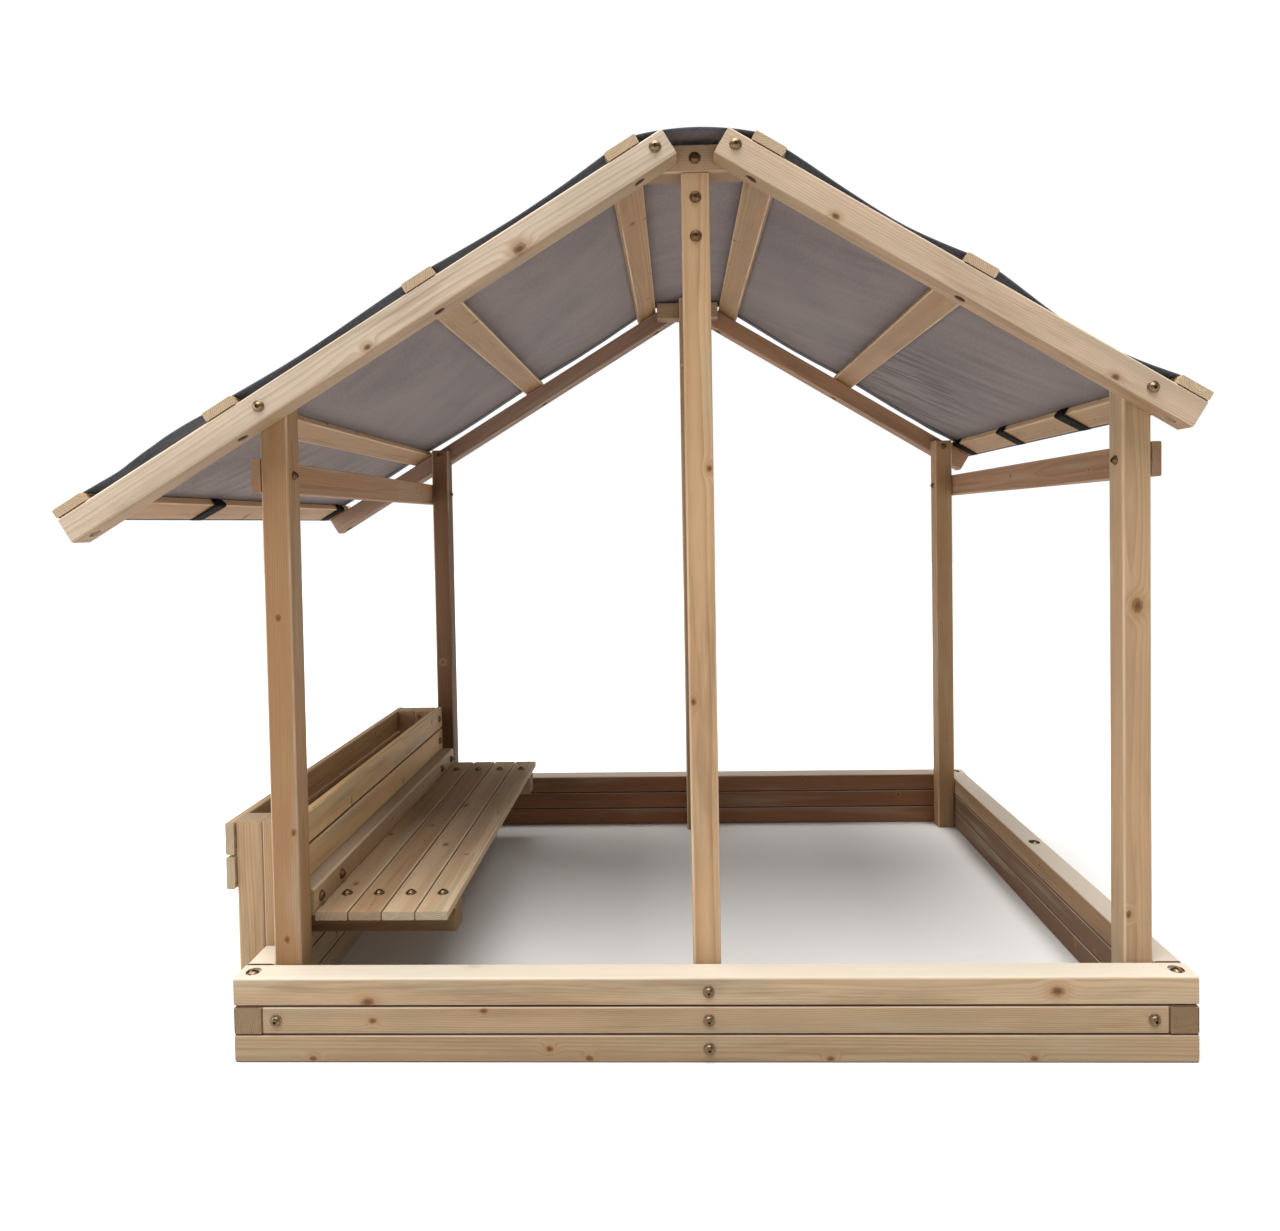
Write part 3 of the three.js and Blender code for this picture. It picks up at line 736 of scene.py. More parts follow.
def zinc_material(name, deep, pale, rough):
    """Yellowed zinc plate: cloudy colour, fine scratches and duller patches."""
    material, graph, shader = new_material(name)
    place = graph.node("ShaderNodeTexCoord").outputs["Object"]
    cloud = graph.noise(place, (240, 240, 240), detail=3.0, roughness=0.6)
    scratch = graph.noise(place, (2600, 300, 900), detail=2.0)
    colour = graph.mix(graph.rise(cloud, 0.3, 0.7), deep, pale)
    colour = graph.mix(graph.rise(scratch, 0.55, 0.75, 0.0, 0.4), colour, srgb(80, 60, 40))
    uneven = graph.rise(cloud, 0.3, 0.75, rough, rough + 0.14)
    uneven = graph.math("ADD", uneven, graph.math("MULTIPLY", scratch, 0.1))
    connect(graph, shader, Base_Color=colour, Roughness=uneven, Normal=graph.bump(scratch, 0.05 * MM, 0.5))
    shader.inputs["Metallic"].default_value = 1.0
    return material


def place_bolt(name, mesh, point, normal, turn):
    """Puts a bolt with its head's underside at a point and its crown along a direction."""
    piece = link_new(name, mesh)
    upright = normal.to_track_quat("Z", "Y").to_matrix().to_4x4()
    piece.matrix_world = Matrix.Translation(point) @ upright @ Matrix.Rotation(turn, 4, "Z")
    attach(piece, "root")
    return piece


def make_bolts():
    """Every bolt. Those through the wall's corners replace CAD solids, and the others have none."""
    zinc = zinc_material("zinc_bolt", srgb(102, 84, 62), srgb(134, 115, 90), 0.3)
    # A darker, rougher copy of the zinc, as painted shade, for the bolts that sit in shade.
    shaded_zinc = zinc_material("shaded_zinc_bolt", srgb(92, 70, 50), srgb(122, 98, 72), 0.42)
    plain, shaded = bolt_mesh(), bolt_mesh()
    through_board, small = bolt_mesh(length=BOARD_THICK - MM), bolt_mesh(radius=SMALL_HEAD_RADIUS)
    for mesh, plate in ((plain, zinc), (shaded, shaded_zinc), (through_board, zinc), (small, shaded_zinc)):
        mesh.materials.append(plate)
    draw = random.Random("bolt turns")
    front, up = Vector((0, -1, 0)), Vector((0, 0, 1))

    def head(name, point, normal, mesh=plain):
        return place_bolt(name, mesh, Vector(point), normal, draw.uniform(0, math.pi / 3))

    def pair(name, point, normal, mesh=plain):
        """The bolt near the front, and its mirror image near the back."""
        point = Vector(point)
        mirrored = Vector((normal.x, -normal.y, normal.z))
        head(f"{name}_front", point, normal, mesh)
        head(f"{name}_back", (point.x, mirror_y(point.y), point.z), mirrored, mesh)

    wall = [centre_of(f"front_rail_{level}").z for level in ("bottom", "middle", "top")]
    for level, height in zip(("bottom", "middle", "top"), wall):
        pair(f"wall_bolt_{level}", (MIDDLE_X, FRONT_Y, height), front)
    centre_post = centre_of("post_front_centre")
    for side in ("left", "right"):
        sign = -1 if side == "left" else 1
        post = centre_of(f"post_front_{side}")
        post_low, post_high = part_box(f"post_front_{side}")
        rail = centre_of(f"{side}_rail_top")
        # Walls
        pair(f"wall_end_bolt_{side}", (post.x, FRONT_Y, wall[1]), front)
        seat_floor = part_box(f"{side}_rail_top")[1].z - HEAD_SEAT_DEPTH
        head(f"side_rail_bolt_{side}", (rail.x, rail.y, seat_floor), up)
        # Roof frame
        gusset_height = centre_of("ridge_gusset_front").z
        pair(f"rafter_top_bolt_{side}", (MIDDLE_X + sign * RAFTER_BOLT_REACH, FRONT_Y, gusset_height), front)
        pair(f"rafter_post_bolt_{side}", (post.x, FRONT_Y, post_high.z - POST_BOLT_DROP), front)
        pair(f"rafter_post_nut_{side}", (post.x, post_high.y, post_high.z - POST_BOLT_DROP), -front, small)
        # Tie rails
        inner_x = post_low.x if side == "right" else post_high.x
        rail_height = centre_of(f"tie_rail_{side}").z
        pair(f"tie_rail_nut_{side}", (inner_x, post.y, rail_height), Vector((-sign, 0, 0)), small)
        outer_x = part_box(f"tie_rail_{side}")[1 if side == "right" else 0].x
        pair(f"tie_rail_bolt_{side}", (outer_x, post.y, rail_height), Vector((sign, 0, 0)))
    post_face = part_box("post_front_centre")[0].y
    for index in range(RIDGE_BOLTS):
        height = centre_of("ridge_gusset_front").z - index * RIDGE_BOLT_PITCH
        pair(f"ridge_bolt_{index + 1}", (centre_post.x, post_face, height), front, shaded)
    make_batten_bolts(pair, small)
    make_bench_bolts(pair, through_board, shaded)
    make_corner_bolts(zinc)


def make_batten_bolts(pair, small):
    """The battens' bolts go up through the rafters from deep round seats underneath."""
    for slope in (LEFT, RIGHT):
        for index, batten in enumerate(slope.battens):
            place = slope.place(slope.down_of(batten), FRONT_Y + STOCK / 2, COUNTERBORE_DEPTH - STOCK)
            pair(f"batten_bolt_{slope.name}_{index + 1}", place, -slope.out_axis, small)


def make_bench_bolts(pair, through_board, shaded):
    """Bolts through the boards of the seat, the planter and the backrest, and in the bench rail."""
    arm_y, upright_y = centre_of("bench_arm_front").y, centre_of("planter_upright_front_outer").y
    for index in range(SEAT_BOARDS):
        board = f"bench_slat_{index + 1}"
        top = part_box(board)[1].z
        pair(f"seat_bolt_{index + 1}", (centre_of(board).x, arm_y, top), Vector((0, 0, 1)), through_board)
    for level in ("lower", "upper"):
        outer, inner = f"planter_slat_{level}", f"backrest_slat_{level}"
        outer_place = (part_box(outer)[0].x, upright_y, centre_of(outer).z)
        pair(f"planter_bolt_{level}", outer_place, Vector((-1, 0, 0)), through_board)
        inner_place = (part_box(inner)[1].x, upright_y, centre_of(inner).z)
        pair(f"backrest_bolt_{level}", inner_place, Vector((1, 0, 0)), through_board)
    rail = centre_of("bench_rail")
    rail_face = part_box("bench_rail")[1].x
    for index, node in enumerate(("planter_upright_front_inner", "bench_block_front")):
        pair(f"bench_rail_bolt_{index + 1}", (rail_face, centre_of(node).y, rail.z), Vector((1, 0, 0)), shaded)


def make_corner_bolts(zinc):
    """The long bolts through the three layers of the wall's corners, with their nuts in seats underneath."""
    for end in ("front", "back"):
        for side in ("left", "right"):
            node = f"corner_bolt_{end}_{side}"
            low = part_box(node)[0]
            wall_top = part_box("front_rail_top")[1].z
            base = wall_top - HEAD_SEAT_DEPTH
            mesh = bolt_mesh(length=base - low.z, nut_base=low.z + NUT_LIFT - base)
            mesh.materials.append(zinc)
            centre = centre_of(node)
            seat = Vector((centre.x, centre.y, base))
            piece = place_bolt(f"{node}_detailed", mesh, seat, Vector((0, 0, 1)), CORNER_BOLT_TURN)
            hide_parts(node)


# ---- Cloth cover ----
CLOTH_THICK = 1.1 * MM
HEM_THICK = 0.9 * MM
CLOTH_LIFT = CLOTH_THICK / 2 + HEM_THICK + 0.3 * MM  # from the battens' tops to the middle of the cloth
CLOTH_FRONT = FRONT_Y + 11 * MM
CLOTH_BACK = BACK_Y - 28 * MM
RIDGE_RISE = 10 * MM
# The front hem is a real hem, but it is turned under wider over the slopes than over the ridge so that its
# dark outer face also stands for the shade in the gap above the rafters: partly painted shade.
HEM_FOLD = 30 * MM
RIDGE_HEM = 0.35  # the share of the hem's width that is turned under over the ridge
CLOTH_COLUMNS = 190
BAY_STEPS = 34
RIDGE_STEPS = 22
BROAD_WAVE = 2.2 * MM
FOLD_HEIGHT = 9 * MM
FINE_WAVE = 0.6 * MM
BATTEN_SHARES = (0.0, 0.12, 0.5, 0.88, 1.0)
FOLD_LEAN = 0.55  # how far a fold drifts to the front for each length that it runs down the slope
WEAVE = 1.3 * MM
OUTER_CLOTH = (srgb(58, 62, 72), srgb(72, 76, 86))
INNER_CLOTH = (srgb(82, 70, 69), srgb(102, 88, 85))
HEM_CLOTH = (srgb(58, 63, 71), srgb(72, 77, 85))
# The dark of the creases, painted as shade in the folds.
CREASE_SHADE = srgb(44, 37, 37)
CREASED_UP = 300 * MM  # from the right eave's edge to the middle of the creases
CREASED_BACK = 800 * MM  # from the front wall to the middle of the creases
CREASED_REACH = (0.22, 0.36)  # how far the creases go up or down the slope and along the ridge
EAVE_POINTS = 7
HEM_STEPS = 4
SEAM_INSET = 4 * MM
STITCH_PITCH = 5 * MM
STITCH_LENGTH = 4 * MM
STITCH_RADIUS = 0.45 * MM
ClothPoint = namedtuple("ClothPoint", "place normal bay share down")
# Between two battens the cloth dips by so much at its front and back edges, deepest at the peak's share of
# the way down. It swells by so much before it dips, and has more or less of the folds.
Bay = namedtuple("Bay", "front back peak swell folds")
BAYS = {
    "left": [
        Bay(7.5 * MM, 3 * MM, 0.5, 0, 0.25), Bay(4.5 * MM, 3 * MM, 0.58, 0, 0.3),
        Bay(-0.5 * MM, 2 * MM, 0.5, 2.4 * MM, 0.6),
    ],
    "right": [Bay(11 * MM, 3 * MM, 0.58, 0, 0.3), Bay(17 * MM, 3 * MM, 0.56, 0, 1.0)],
}
RIDGE_BAY = Bay(0, 1 * MM, 0.5, 0, 0.15)


def slope_points(slope):
    """The cloth's line down one slope from the first batten to its edge, as it would lie pulled flat."""
    points = []
    starts = [slope.down_of(batten) - BOARD_WIDTH / 2 for batten in slope.battens]
    level = BOARD_THICK + CLOTH_LIFT

    def add(down, out, bay=None, share=0.0, normal=slope.out_axis):
        points.append(ClothPoint(slope.place(down, 0, out), normal, bay, share, down))

    for index, start in enumerate(starts):
        stop = start + BOARD_WIDTH
        for share in BATTEN_SHARES:
            add(start + share * BOARD_WIDTH, level)
        if index + 1 < len(starts):
            for step in range(1, BAY_STEPS):
                share = step / BAY_STEPS
                add(stop + share * (starts[index + 1] - stop), level, BAYS[slope.name][index], share)
    edge = starts[-1] + BOARD_WIDTH
    for step in range(1, 4):
        angle = step * math.pi / 6
        turned = slope.out_axis * math.cos(angle) + slope.down_axis * math.sin(angle)
        add(edge + CLOTH_LIFT * math.sin(angle), BOARD_THICK + CLOTH_LIFT * math.cos(angle), normal=turned)
    for share in (0.25, 0.5, 0.75, 1.0):
        add(edge + CLOTH_LIFT, BOARD_THICK * (1 - share), normal=slope.down_axis)
    return points


def ridge_points():
    """The low arch over the ridge between the first battens' top corners, from left to right."""
    half = RIGHT.place(RIGHT.down_of(RIGHT.battens[0]) - BOARD_WIDTH / 2, 0, BOARD_THICK + CLOTH_LIFT)
    reach = half.x - MIDDLE_X
    radius = (reach**2 + RIDGE_RISE**2) / (2 * RIDGE_RISE)
    widest = math.asin(reach / radius)
    crown = Vector((MIDDLE_X, 0, half.z + RIDGE_RISE - radius))
    points = []
    for step in range(1, RIDGE_STEPS):
        share = step / RIDGE_STEPS
        angle = widest * (2 * share - 1)
        normal = Vector((math.sin(angle), 0, math.cos(angle)))
        points.append(ClothPoint(crown + normal * radius, normal, RIDGE_BAY, share, 0.0))
    return points


def cloth_rise(point, y):
    """How far the cloth at a place stands out of its flat line: its dip, broad waves and slanting folds."""
    bay = point.bay
    if bay is None:
        return 0.0
    back_share = (y - FRONT_Y) / DEPTH
    dip = bay.back + (bay.front - bay.back) * (1 - back_share) ** 3
    peak_power = math.log(0.5) / math.log(bay.peak)
    loose = math.sin(math.pi * point.share**peak_power)
    rise = bay.swell * (1 - back_share) * math.sin(2 * math.pi * point.share) - dip * loose
    x = point.place.x
    broad = noise.noise(Vector((x * 3.4 + 3.1, y * 4.2 + 7.7, 1.9)))
    across = y + FOLD_LEAN * point.down
    fold = noise.noise(Vector((across * 34, point.down * 2.5, 4.4)))
    where = max(0.0, noise.noise(Vector((x * 3 + 2, y * 4.5, 8.1))) + 0.12)
    fine = noise.noise(Vector((x * 17, y * 13, 8.8)))
    rise += loose * (BROAD_WAVE * broad + FOLD_HEIGHT * bay.folds * fold * where + FINE_WAVE * fine)
    over_rafter = y < FRONT_Y + STOCK or y > BACK_Y - STOCK
    if over_rafter and point.bay is not RIDGE_BAY:
        return max(rise, -BOARD_THICK)
    return rise


def cloth_line():
    """The cloth's whole line, from the left eave's edge over the ridge to the right eave's."""
    left, right = slope_points(LEFT), slope_points(RIGHT)
    return list(reversed(left)) + ridge_points() + right


def distances_along(line):
    """How far each point of the line is from its start, along the line."""
    travelled = [0.0]
    for before, after in zip(line, line[1:]):
        travelled.append(travelled[-1] + (after.place - before.place).length)
    return travelled


def cloth_surface(name, line, columns, lift=0.0):
    """A grid of the cloth's line swept along the ridge, with UVs in metres."""
    shape = bmesh.new()
    uv_layer = shape.loops.layers.uv.new("cloth")
    travelled = distances_along(line)
    grid = []
    for point in line:
        row = []
        for y in columns:
            place = point.place + point.normal * (cloth_rise(point, y) + lift)
            row.append(shape.verts.new((place.x, y, place.z)))
        grid.append(row)
    for i in range(len(line) - 1):
        for j in range(len(columns) - 1):
            corners = ((i, j), (i + 1, j), (i + 1, j + 1), (i, j + 1))
            face = shape.faces.new([grid[a][b] for a, b in corners])
            face.smooth = True
            for loop, (a, b) in zip(face.loops, corners):
                loop[uv_layer].uv = (travelled[a], columns[b])
    return mesh_of(name, shape)


def woven_material(name, deep, pale, creased=None):
    """Plain-woven cloth with clouds of colour. Where it is creased, painted shade draws dark folds down it.
    """
    material, graph, shader = new_material(name)
    place = graph.node("ShaderNodeUVMap", uv_map="cloth").outputs[0]
    u, v, _ = graph.split(place)
    warp = graph.math("SINE", graph.math("MULTIPLY", u, 2 * math.pi / WEAVE))
    weft = graph.math("SINE", graph.math("MULTIPLY", v, 2 * math.pi / WEAVE))
    thread = graph.math("MULTIPLY", warp, weft)
    lean = (0, 0, math.atan(FOLD_LEAN))
    leaning = graph.node("ShaderNodeMapping", {"Vector": place, "Rotation": lean}).outputs[0]
    broad = graph.noise(place, (3.6, 2.6, 1), detail=3.0, roughness=0.55)
    streaks = graph.noise(leaning, (3, 15, 1), detail=3.0, roughness=0.5)
    fine = graph.noise(place, (170, 170, 1), detail=3.0)
    blot = graph.math("MULTIPLY_ADD", streaks, 0.35, graph.math("MULTIPLY", broad, 0.65))
    tone = graph.mix(graph.rise(blot, 0.34, 0.66), deep, pale)
    slub = graph.noise(place, (900, 40, 1), detail=2.0)
    tone = graph.mix(graph.rise(slub, 0.55, 0.8, 0.0, 0.12), tone, srgb(30, 30, 34))
    tone = graph.mix(graph.rise(fine, 0.4, 0.75, 0.0, 0.08), tone, srgb(190, 186, 190))
    if creased:
        shrink = (1 / CREASED_REACH[0], 1 / CREASED_REACH[1], 0)
        away = graph.vector("MULTIPLY", graph.vector("SUBTRACT", place, creased), shrink)
        near = graph.rise(graph.vector("LENGTH", away), 0.4, 1.0, 1.0, 0.0)
        crease_shade = graph.noise(leaning, (6, 52, 1), detail=3.0, roughness=0.6)
        crease_shade = graph.rise(crease_shade, 0.44, 0.6, 0.0, 0.8)
        tone = graph.mix(graph.math("MULTIPLY", near, crease_shade), tone, CREASE_SHADE)
    rough = graph.math("MULTIPLY_ADD", fine, 0.12, 0.74)
    height = graph.math("ADD", graph.math("MULTIPLY", thread, 0.5), graph.math("MULTIPLY", slub, 0.6))
    connect(graph, shader, Base_Color=tone, Roughness=rough, Normal=graph.bump(height, 0.12 * MM, 0.5))
    shader.inputs["Specular IOR Level"].default_value = 0.3
    shader.inputs["Sheen Weight"].default_value = 0.15
    shader.inputs["Sheen Roughness"].default_value = 0.5
    return material


def make_canopy():
    """One cloth from eave to eave, with hems turned under at the front and back, and up at the eaves."""
    line = cloth_line()
    length = distances_along(line)[-1]
    width = CLOTH_BACK - CLOTH_FRONT
    columns = [CLOTH_FRONT + width * step / CLOTH_COLUMNS for step in range(CLOTH_COLUMNS + 1)]
    mesh = cloth_surface("canopy_cloth", line, columns)
    canopy = new_object("canopy_cloth", mesh, woven_material("cloth_outer", *OUTER_CLOTH))
    creased = (length - CREASED_UP, FRONT_Y + CREASED_BACK, 0)
    mesh.materials.append(woven_material("cloth_inner", *INNER_CLOTH, creased))
    thicken(canopy, CLOTH_THICK)
    canopy.modifiers["thickness"].material_offset = 1
    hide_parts("canopy")
    hems = make_hems(line, columns)
    hems.append(make_stitches(line))


def thicken(piece, thickness):
    """Gives a sheet its thickness, half to each side."""
    body = piece.modifiers.new("thickness", "SOLIDIFY")
    body.thickness = thickness
    body.offset = 0.0


def make_hems(line, columns):
    """The cloth's margins: folded in under the front and back edges, and out over the eaves' edges."""
    material = woven_material("cloth_hem", *HEM_CLOTH)
    away = CLOTH_THICK / 2 + HEM_THICK / 2 + 0.05 * MM
    folds = [HEM_FOLD * step / HEM_STEPS for step in range(HEM_STEPS + 1)]
    over_ridge = [index for index, point in enumerate(line) if point.bay is RIDGE_BAY]
    first, last = over_ridge[0], over_ridge[-1]
    strips = {
        "front_left": (line[:first], [CLOTH_FRONT + fold for fold in folds], -away),
        "front_ridge": (line[first - 1:last + 2], [CLOTH_FRONT + fold * RIDGE_HEM for fold in folds], -away),
        "front_right": (line[last + 1:], [CLOTH_FRONT + fold for fold in folds], -away),
        "back": (line, [CLOTH_BACK - fold for fold in reversed(folds)], -away),
        "left": (line[:EAVE_POINTS], columns, away),
        "right": (line[-EAVE_POINTS:], columns, away),
    }
    hems = []
    for end, (part, places, lift) in strips.items():
        mesh = cloth_surface(f"canopy_hem_{end}", part, places, lift)
        hem = new_object(f"canopy_hem_{end}", mesh, material)
        thicken(hem, HEM_THICK)
        hems.append(hem)
    return hems


def stitch_places(line):
    """Where each stitch lies on the cloth, its direction, and the way out of the cloth."""
    travelled = distances_along(line)
    lift = CLOTH_THICK / 2 + STITCH_RADIUS * 0.6
    insets = (SEAM_INSET, HEM_FOLD - SEAM_INSET)
    for y in [CLOTH_FRONT + inset for inset in insets] + [CLOTH_BACK - inset for inset in reversed(insets)]:
        surface = [point.place + point.normal * (cloth_rise(point, y) + lift) for point in line]
        segment = 0
        for count in range(int(travelled[-1] / STITCH_PITCH)):
            distance = (count + 0.5) * STITCH_PITCH
            while travelled[segment + 1] < distance:
                segment += 1
            share = (distance - travelled[segment]) / (travelled[segment + 1] - travelled[segment])
            before, after = surface[segment], surface[segment + 1]
            spot = before.lerp(after, share)
            yield Vector((spot.x, y, spot.z)), (after - before).normalized(), line[segment].normal
    for point in (line[EAVE_POINTS - 2], line[1 - EAVE_POINTS]):
        spot = point.place + point.normal * (CLOTH_THICK / 2 + HEM_THICK + STITCH_RADIUS)
        for count in range(int((CLOTH_BACK - CLOTH_FRONT) / STITCH_PITCH)):
            y = CLOTH_FRONT + (count + 0.5) * STITCH_PITCH
            yield Vector((spot.x, y, spot.z)), Vector((0, 1, 0)), point.normal


def make_stitches(line):
    """The hems' seams: a short closed spindle of thread for each stitch."""
    shape = bmesh.new()
    for spot, along, out in stitch_places(line):
        side = along.cross(out).normalized()
        tips = [shape.verts.new(spot + along * sign * STITCH_LENGTH / 2) for sign in (-1, 1)]
        waist = [shape.verts.new(spot + way * STITCH_RADIUS) for way in (side, out, -side, -out)]
        for index in range(4):
            first, second = waist[index], waist[(index + 1) % 4]
            for tip in tips:
                shape.faces.new((first, second, tip)).smooth = True
    bmesh.ops.recalc_face_normals(shape, faces=shape.faces)
    mesh = mesh_of("canopy_stitches", shape)
    return new_object("canopy_stitches", mesh, thread_material())


def thread_material():
    """Slate sewing thread with a slight twist and sheen."""
    material, graph, shader = new_material("sewing_thread")
    place = graph.node("ShaderNodeTexCoord").outputs["Object"]
    twist = graph.noise(place, (900, 900, 900), detail=2.0)
    colour = graph.mix(twist, srgb(84, 88, 100), srgb(120, 124, 134))
    rough = graph.math("MULTIPLY_ADD", twist, 0.2, 0.45)
    connect(graph, shader, Base_Color=colour, Roughness=rough, Normal=graph.bump(twist, 0.1 * MM, 0.5))
    return material


# ---- Straps ----
STRAP_WIDTH = 40 * MM
STRAP_THICK = 1.6 * MM
STRAP_GAP = 1.2 * MM
STRAP_SLACK = 3.5 * MM  # how far the strap stands off the batten's lower inner corner
STRAP_BEND = 14 * MM
# The band's cross-section: places across its width, and how thick it is there.
STRAP_ACROSS = (-0.5, -0.46, -0.25, 0.0, 0.25, 0.46, 0.5)
STRAP_CROWN = (0.25, 0.85, 1.0, 1.0, 1.0, 0.85, 0.25)
STRAP_COUNT = 4
STRAP_FIRST = 80 * MM  # from the front wall's outer face
STRAP_PITCH = 310 * MM


def rounded_path(corners, radius, steps=6):
    """The corners' polyline with each inner corner replaced by an arc."""
    path = [corners[0]]
    for before, corner, after in zip(corners, corners[1:], corners[2:]):
        towards, away = (before - corner).normalized(), (after - corner).normalized()
        half_angle = towards.angle(away) / 2
        longest = 0.49 * min((before - corner).length, (after - corner).length)
        setback = min(radius / math.tan(half_angle), longest)
        start, stop = corner + towards * setback, corner + away * setback
        for step in range(steps + 1):
            share = step / steps
            path.append(start.lerp(corner, share).lerp(corner.lerp(stop, share), share))
    return path + [corners[-1]]


def strap_mesh(name, slope, y):
    """A webbing band from the hem's outer face round under the eave batten and up to the cloth behind it."""
    batten = slope.battens[-1]
    low = slope.down_of(batten) - BOARD_WIDTH / 2
    high = slope.down_of(batten) + BOARD_WIDTH / 2 + CLOTH_LIFT + CLOTH_THICK / 2 + STRAP_THICK / 2
    high += HEM_THICK + 2 * STITCH_RADIUS + 0.2 * MM
    corners = [
        Vector((high, BOARD_THICK - 1 * MM)),
        Vector((high, -STRAP_GAP)),
        Vector((low - STRAP_SLACK * 2, -STRAP_GAP - STRAP_SLACK)),
        Vector((low - STRAP_GAP, BOARD_THICK - STRAP_THICK)),
    ]
    path = rounded_path(corners, STRAP_BEND)
    shape = bmesh.new()
    uv_layer = shape.loops.layers.uv.new("cloth")
    rows, travelled = [], 0.0
    for index, point in enumerate(path):
        after, before = path[min(index + 1, len(path) - 1)], path[max(index - 1, 0)]
        along = (after - before).normalized()
        outward = Vector((along.y, -along.x))
        travelled += (point - path[index - 1]).length if index else 0.0
        ring = []
        for side in (1, -1):
            for across, crown in list(zip(STRAP_ACROSS, STRAP_CROWN))[::side]:
                place = point + outward * side * crown * STRAP_THICK / 2
                spot = slope.place(place.x, y + across * STRAP_WIDTH, place.y)
                ring.append((shape.verts.new(spot), across * STRAP_WIDTH))
        rows.append((ring, travelled))
    for (ring, start), (after, stop) in zip(rows, rows[1:]):
        for step in range(len(ring)):
            following = (step + 1) % len(ring)
            corners = (ring[step], ring[following], after[following], after[step])
            face = shape.faces.new([vertex for vertex, _ in corners])
            face.smooth = True
            for loop, (_, u), v in zip(face.loops, corners, (start, start, stop, stop)):
                loop[uv_layer].uv = (u, v)
    shape.faces.new([vertex for vertex, _ in rows[0][0]])
    shape.faces.new([vertex for vertex, _ in reversed(rows[-1][0])])
    bmesh.ops.recalc_face_normals(shape, faces=shape.faces)
    mesh = mesh_of(name, shape)
    mesh.set_sharp_from_angle(angle=math.radians(50))
    return mesh


def webbing_material():
    """Black webbing with ribs across it and a slight shine."""
    material, graph, shader = new_material("strap_webbing")
    place = graph.node("ShaderNodeUVMap", uv_map="cloth").outputs[0]
    u, v, _ = graph.split(place)
    rib = graph.math("ABSOLUTE", graph.math("SINE", graph.math("MULTIPLY", v, math.pi / (1.6 * MM))))
    chevron = graph.math("PINGPONG", u, 2.5 * MM)
    slant = graph.math("ADD", v, chevron)
    twill = graph.math("SINE", graph.math("MULTIPLY", slant, 2 * math.pi / (2.2 * MM)))
    height = graph.math("ADD", rib, graph.math("MULTIPLY", twill, 0.3))
    dust = graph.noise(place, (70, 70, 1), detail=4.0)
    colour = graph.mix(graph.rise(dust, 0.45, 0.8, 0.0, 0.5), srgb(10, 5, 7), srgb(26, 17, 19))
    rough = graph.math("MULTIPLY_ADD", dust, 0.2, 0.7)
    connect(graph, shader, Base_Color=colour, Roughness=rough, Normal=graph.bump(height, 0.25 * MM, 0.6))
    shader.inputs["Specular IOR Level"].default_value = 0.08
    return material


def make_straps():
    """The straps along both eaves, evenly spaced."""
    webbing = webbing_material()
    for slope in (LEFT, RIGHT):
        for index in range(STRAP_COUNT):
            name = f"strap_{slope.name}_{index + 1}"
            y = FRONT_Y + STRAP_FIRST + index * STRAP_PITCH
            new_object(name, strap_mesh(name, slope, y), webbing)


# ---- Stage ----
LENS = 24.0
SENSOR_WIDTH = 36.0
# From the front wall's foot, at the middle of its outer face.
CAMERA_PLACE = Vector((-37.4, -1310.1, 843.9)) * MM
CAMERA_YAW, CAMERA_PITCH, CAMERA_ROLL = (math.radians(angle) for angle in (-1.608, 1.436, 0.991))
CAMERA_SHIFT = (-0.01034, -0.0563)
FLOOR_HALF = 14.0


def make_camera():
    """The camera at the photograph's viewing angle."""
    data = bpy.data.cameras.new("camera")
    data.lens = LENS
    data.sensor_width = SENSOR_WIDTH
    data.sensor_fit = "HORIZONTAL"
    data.shift_x, data.shift_y = CAMERA_SHIFT
    data.clip_start, data.clip_end = 0.05, 100.0
    camera = link_new("camera", data)
    bpy.context.scene.camera = camera
    ahead = Vector((math.sin(CAMERA_YAW), math.cos(CAMERA_YAW), 0))
    level = Vector((math.cos(CAMERA_YAW), -math.sin(CAMERA_YAW), 0))
    forward = ahead * math.cos(CAMERA_PITCH) - Vector((0, 0, 1)) * math.sin(CAMERA_PITCH)
    down = forward.cross(level)
    right = level * math.cos(CAMERA_ROLL) + down * math.sin(CAMERA_ROLL)
    down = down * math.cos(CAMERA_ROLL) - level * math.sin(CAMERA_ROLL)
    turn = Matrix((right, -down, -forward)).transposed().to_4x4()
    camera.matrix_world = Matrix.Translation(Vector((MIDDLE_X, FRONT_Y, 0)) + CAMERA_PLACE) @ turn


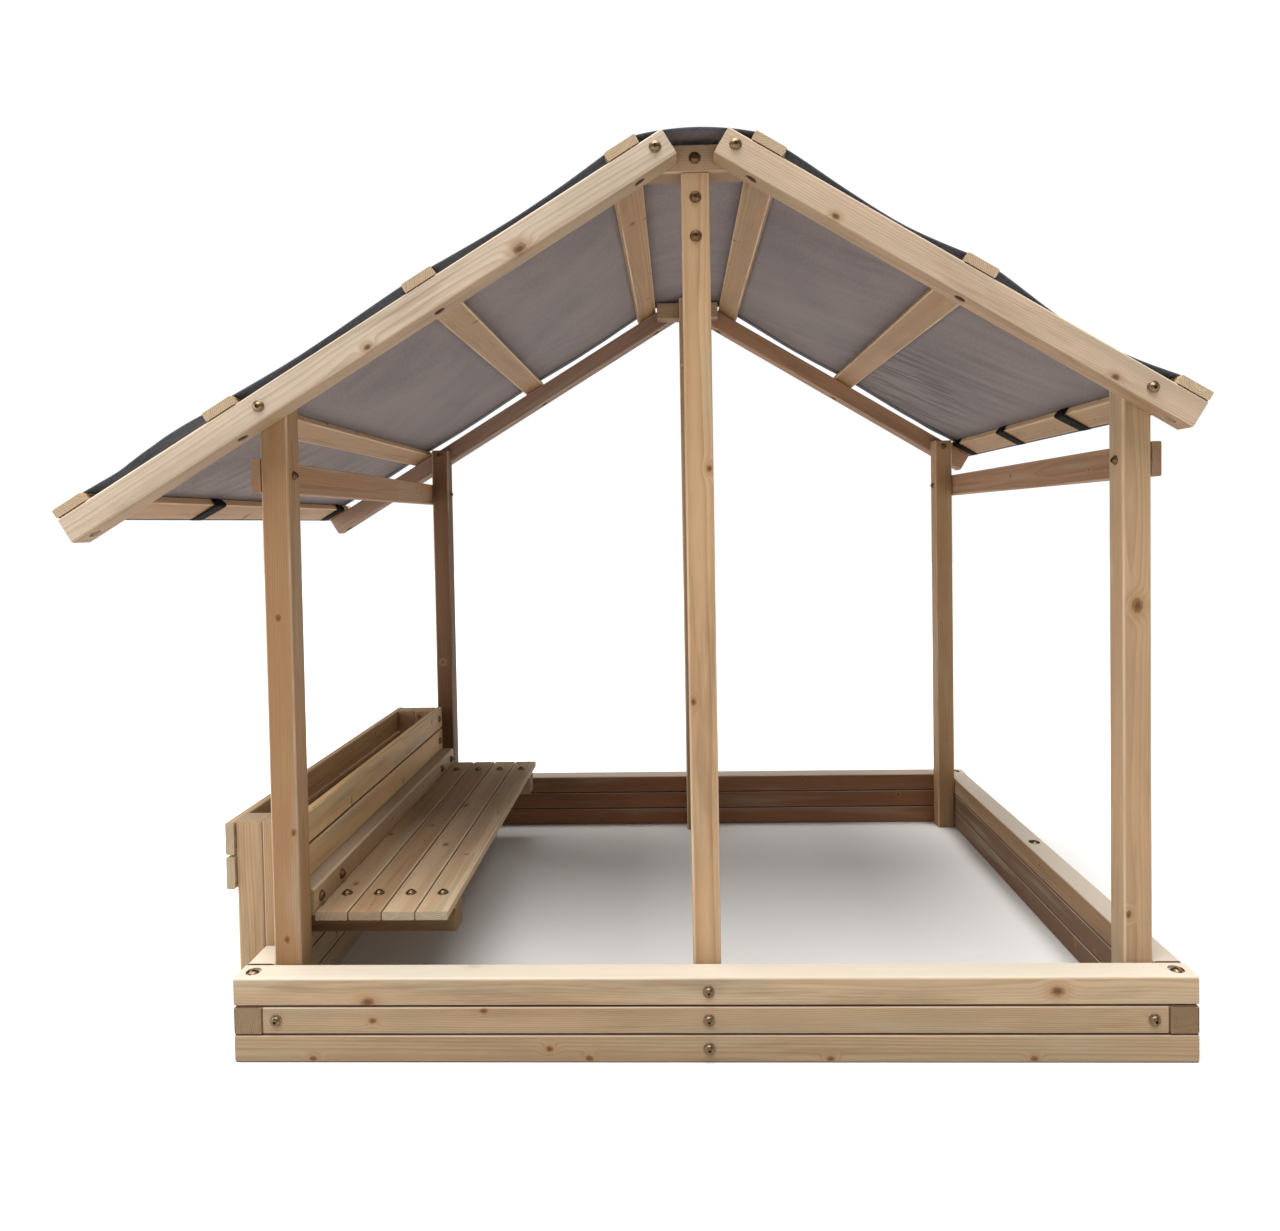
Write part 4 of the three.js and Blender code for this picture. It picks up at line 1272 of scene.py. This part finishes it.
def make_floor():
    """A wide pale floor."""
    corners = [(x * FLOOR_HALF, y * FLOOR_HALF, 0) for x, y in ((-1, -1), (1, -1), (1, 1), (-1, 1))]
    mesh = bpy.data.meshes.new("floor")
    mesh.from_pydata(corners, [], [(0, 1, 2, 3)])
    floor = link_new("floor", mesh)
    material, graph, shader = new_material("pale_floor")
    grain = graph.noise(graph.node("ShaderNodeTexCoord").outputs["Object"], (3, 3, 3), detail=4.0)
    connect(graph, shader, Base_Color=graph.mix(grain, srgb(211, 209, 206), srgb(215, 213, 210)))
    shader.inputs["Roughness"].default_value = 0.9
    mesh.materials.append(material)


SUN_FROM = Vector((-0.12, -0.27, 1.4))
SUN_SPREAD = math.radians(52)
SUN_STRENGTH = 6.5
FILL_STRENGTH = 0.24
SIDE_LAMP_SIZE = (2.4, 1.8)
SIDE_LAMP_PLACE = Vector((3.2, 0.1, 1.15))
SIDE_LAMP_WATTS = {"left": 115, "right": 14}
SIDE_LAMP_TILT = 0.15
SURROUND_STRENGTH = 1.05


def make_lights():
    """Soft studio light from above the front and from the sides, in a white surround with a weak fill."""
    world = bpy.data.worlds.new("studio")
    world.use_nodes = True
    world.node_tree.nodes.clear()
    graph = Graph(world.node_tree)
    seen = graph.node("ShaderNodeLightPath").outputs["Is Camera Ray"]
    strength = graph.rise(seen, 0.0, 1.0, FILL_STRENGTH, SURROUND_STRENGTH)
    background = graph.node("ShaderNodeBackground", {"Color": (1, 1, 1, 1), "Strength": strength})
    graph.node("ShaderNodeOutputWorld", {"Surface": background.outputs[0]})
    bpy.context.scene.world = world
    data = bpy.data.lights.new("key", "SUN")
    data.energy = SUN_STRENGTH
    data.angle = SUN_SPREAD
    key = link_new("key", data)
    key.rotation_euler = SUN_FROM.to_track_quat("Z", "Y").to_euler()
    for name, watts in SIDE_LAMP_WATTS.items():
        sign = -1 if name == "left" else 1
        data = bpy.data.lights.new(f"soft_box_{name}", "AREA")
        data.shape = "RECTANGLE"
        data.size, data.size_y = SIDE_LAMP_SIZE
        data.energy = watts
        lamp = link_new(f"soft_box_{name}", data)
        lamp.location = (sign * SIDE_LAMP_PLACE.x, SIDE_LAMP_PLACE.y, SIDE_LAMP_PLACE.z)
        lamp.rotation_euler = Vector((sign, 0, SIDE_LAMP_TILT)).to_track_quat("Z", "Y").to_euler()
        lamp.visible_camera = False


# ---- The whole scene ----
bpy.context.scene.view_settings.view_transform = "Standard"
make_camera()
for node_name in NODES:
    if SLOT_OF[node_name] in PINES:
        finish_timber(node_name)
make_canopy()
make_straps()
make_bolts()
make_floor()
make_lights()
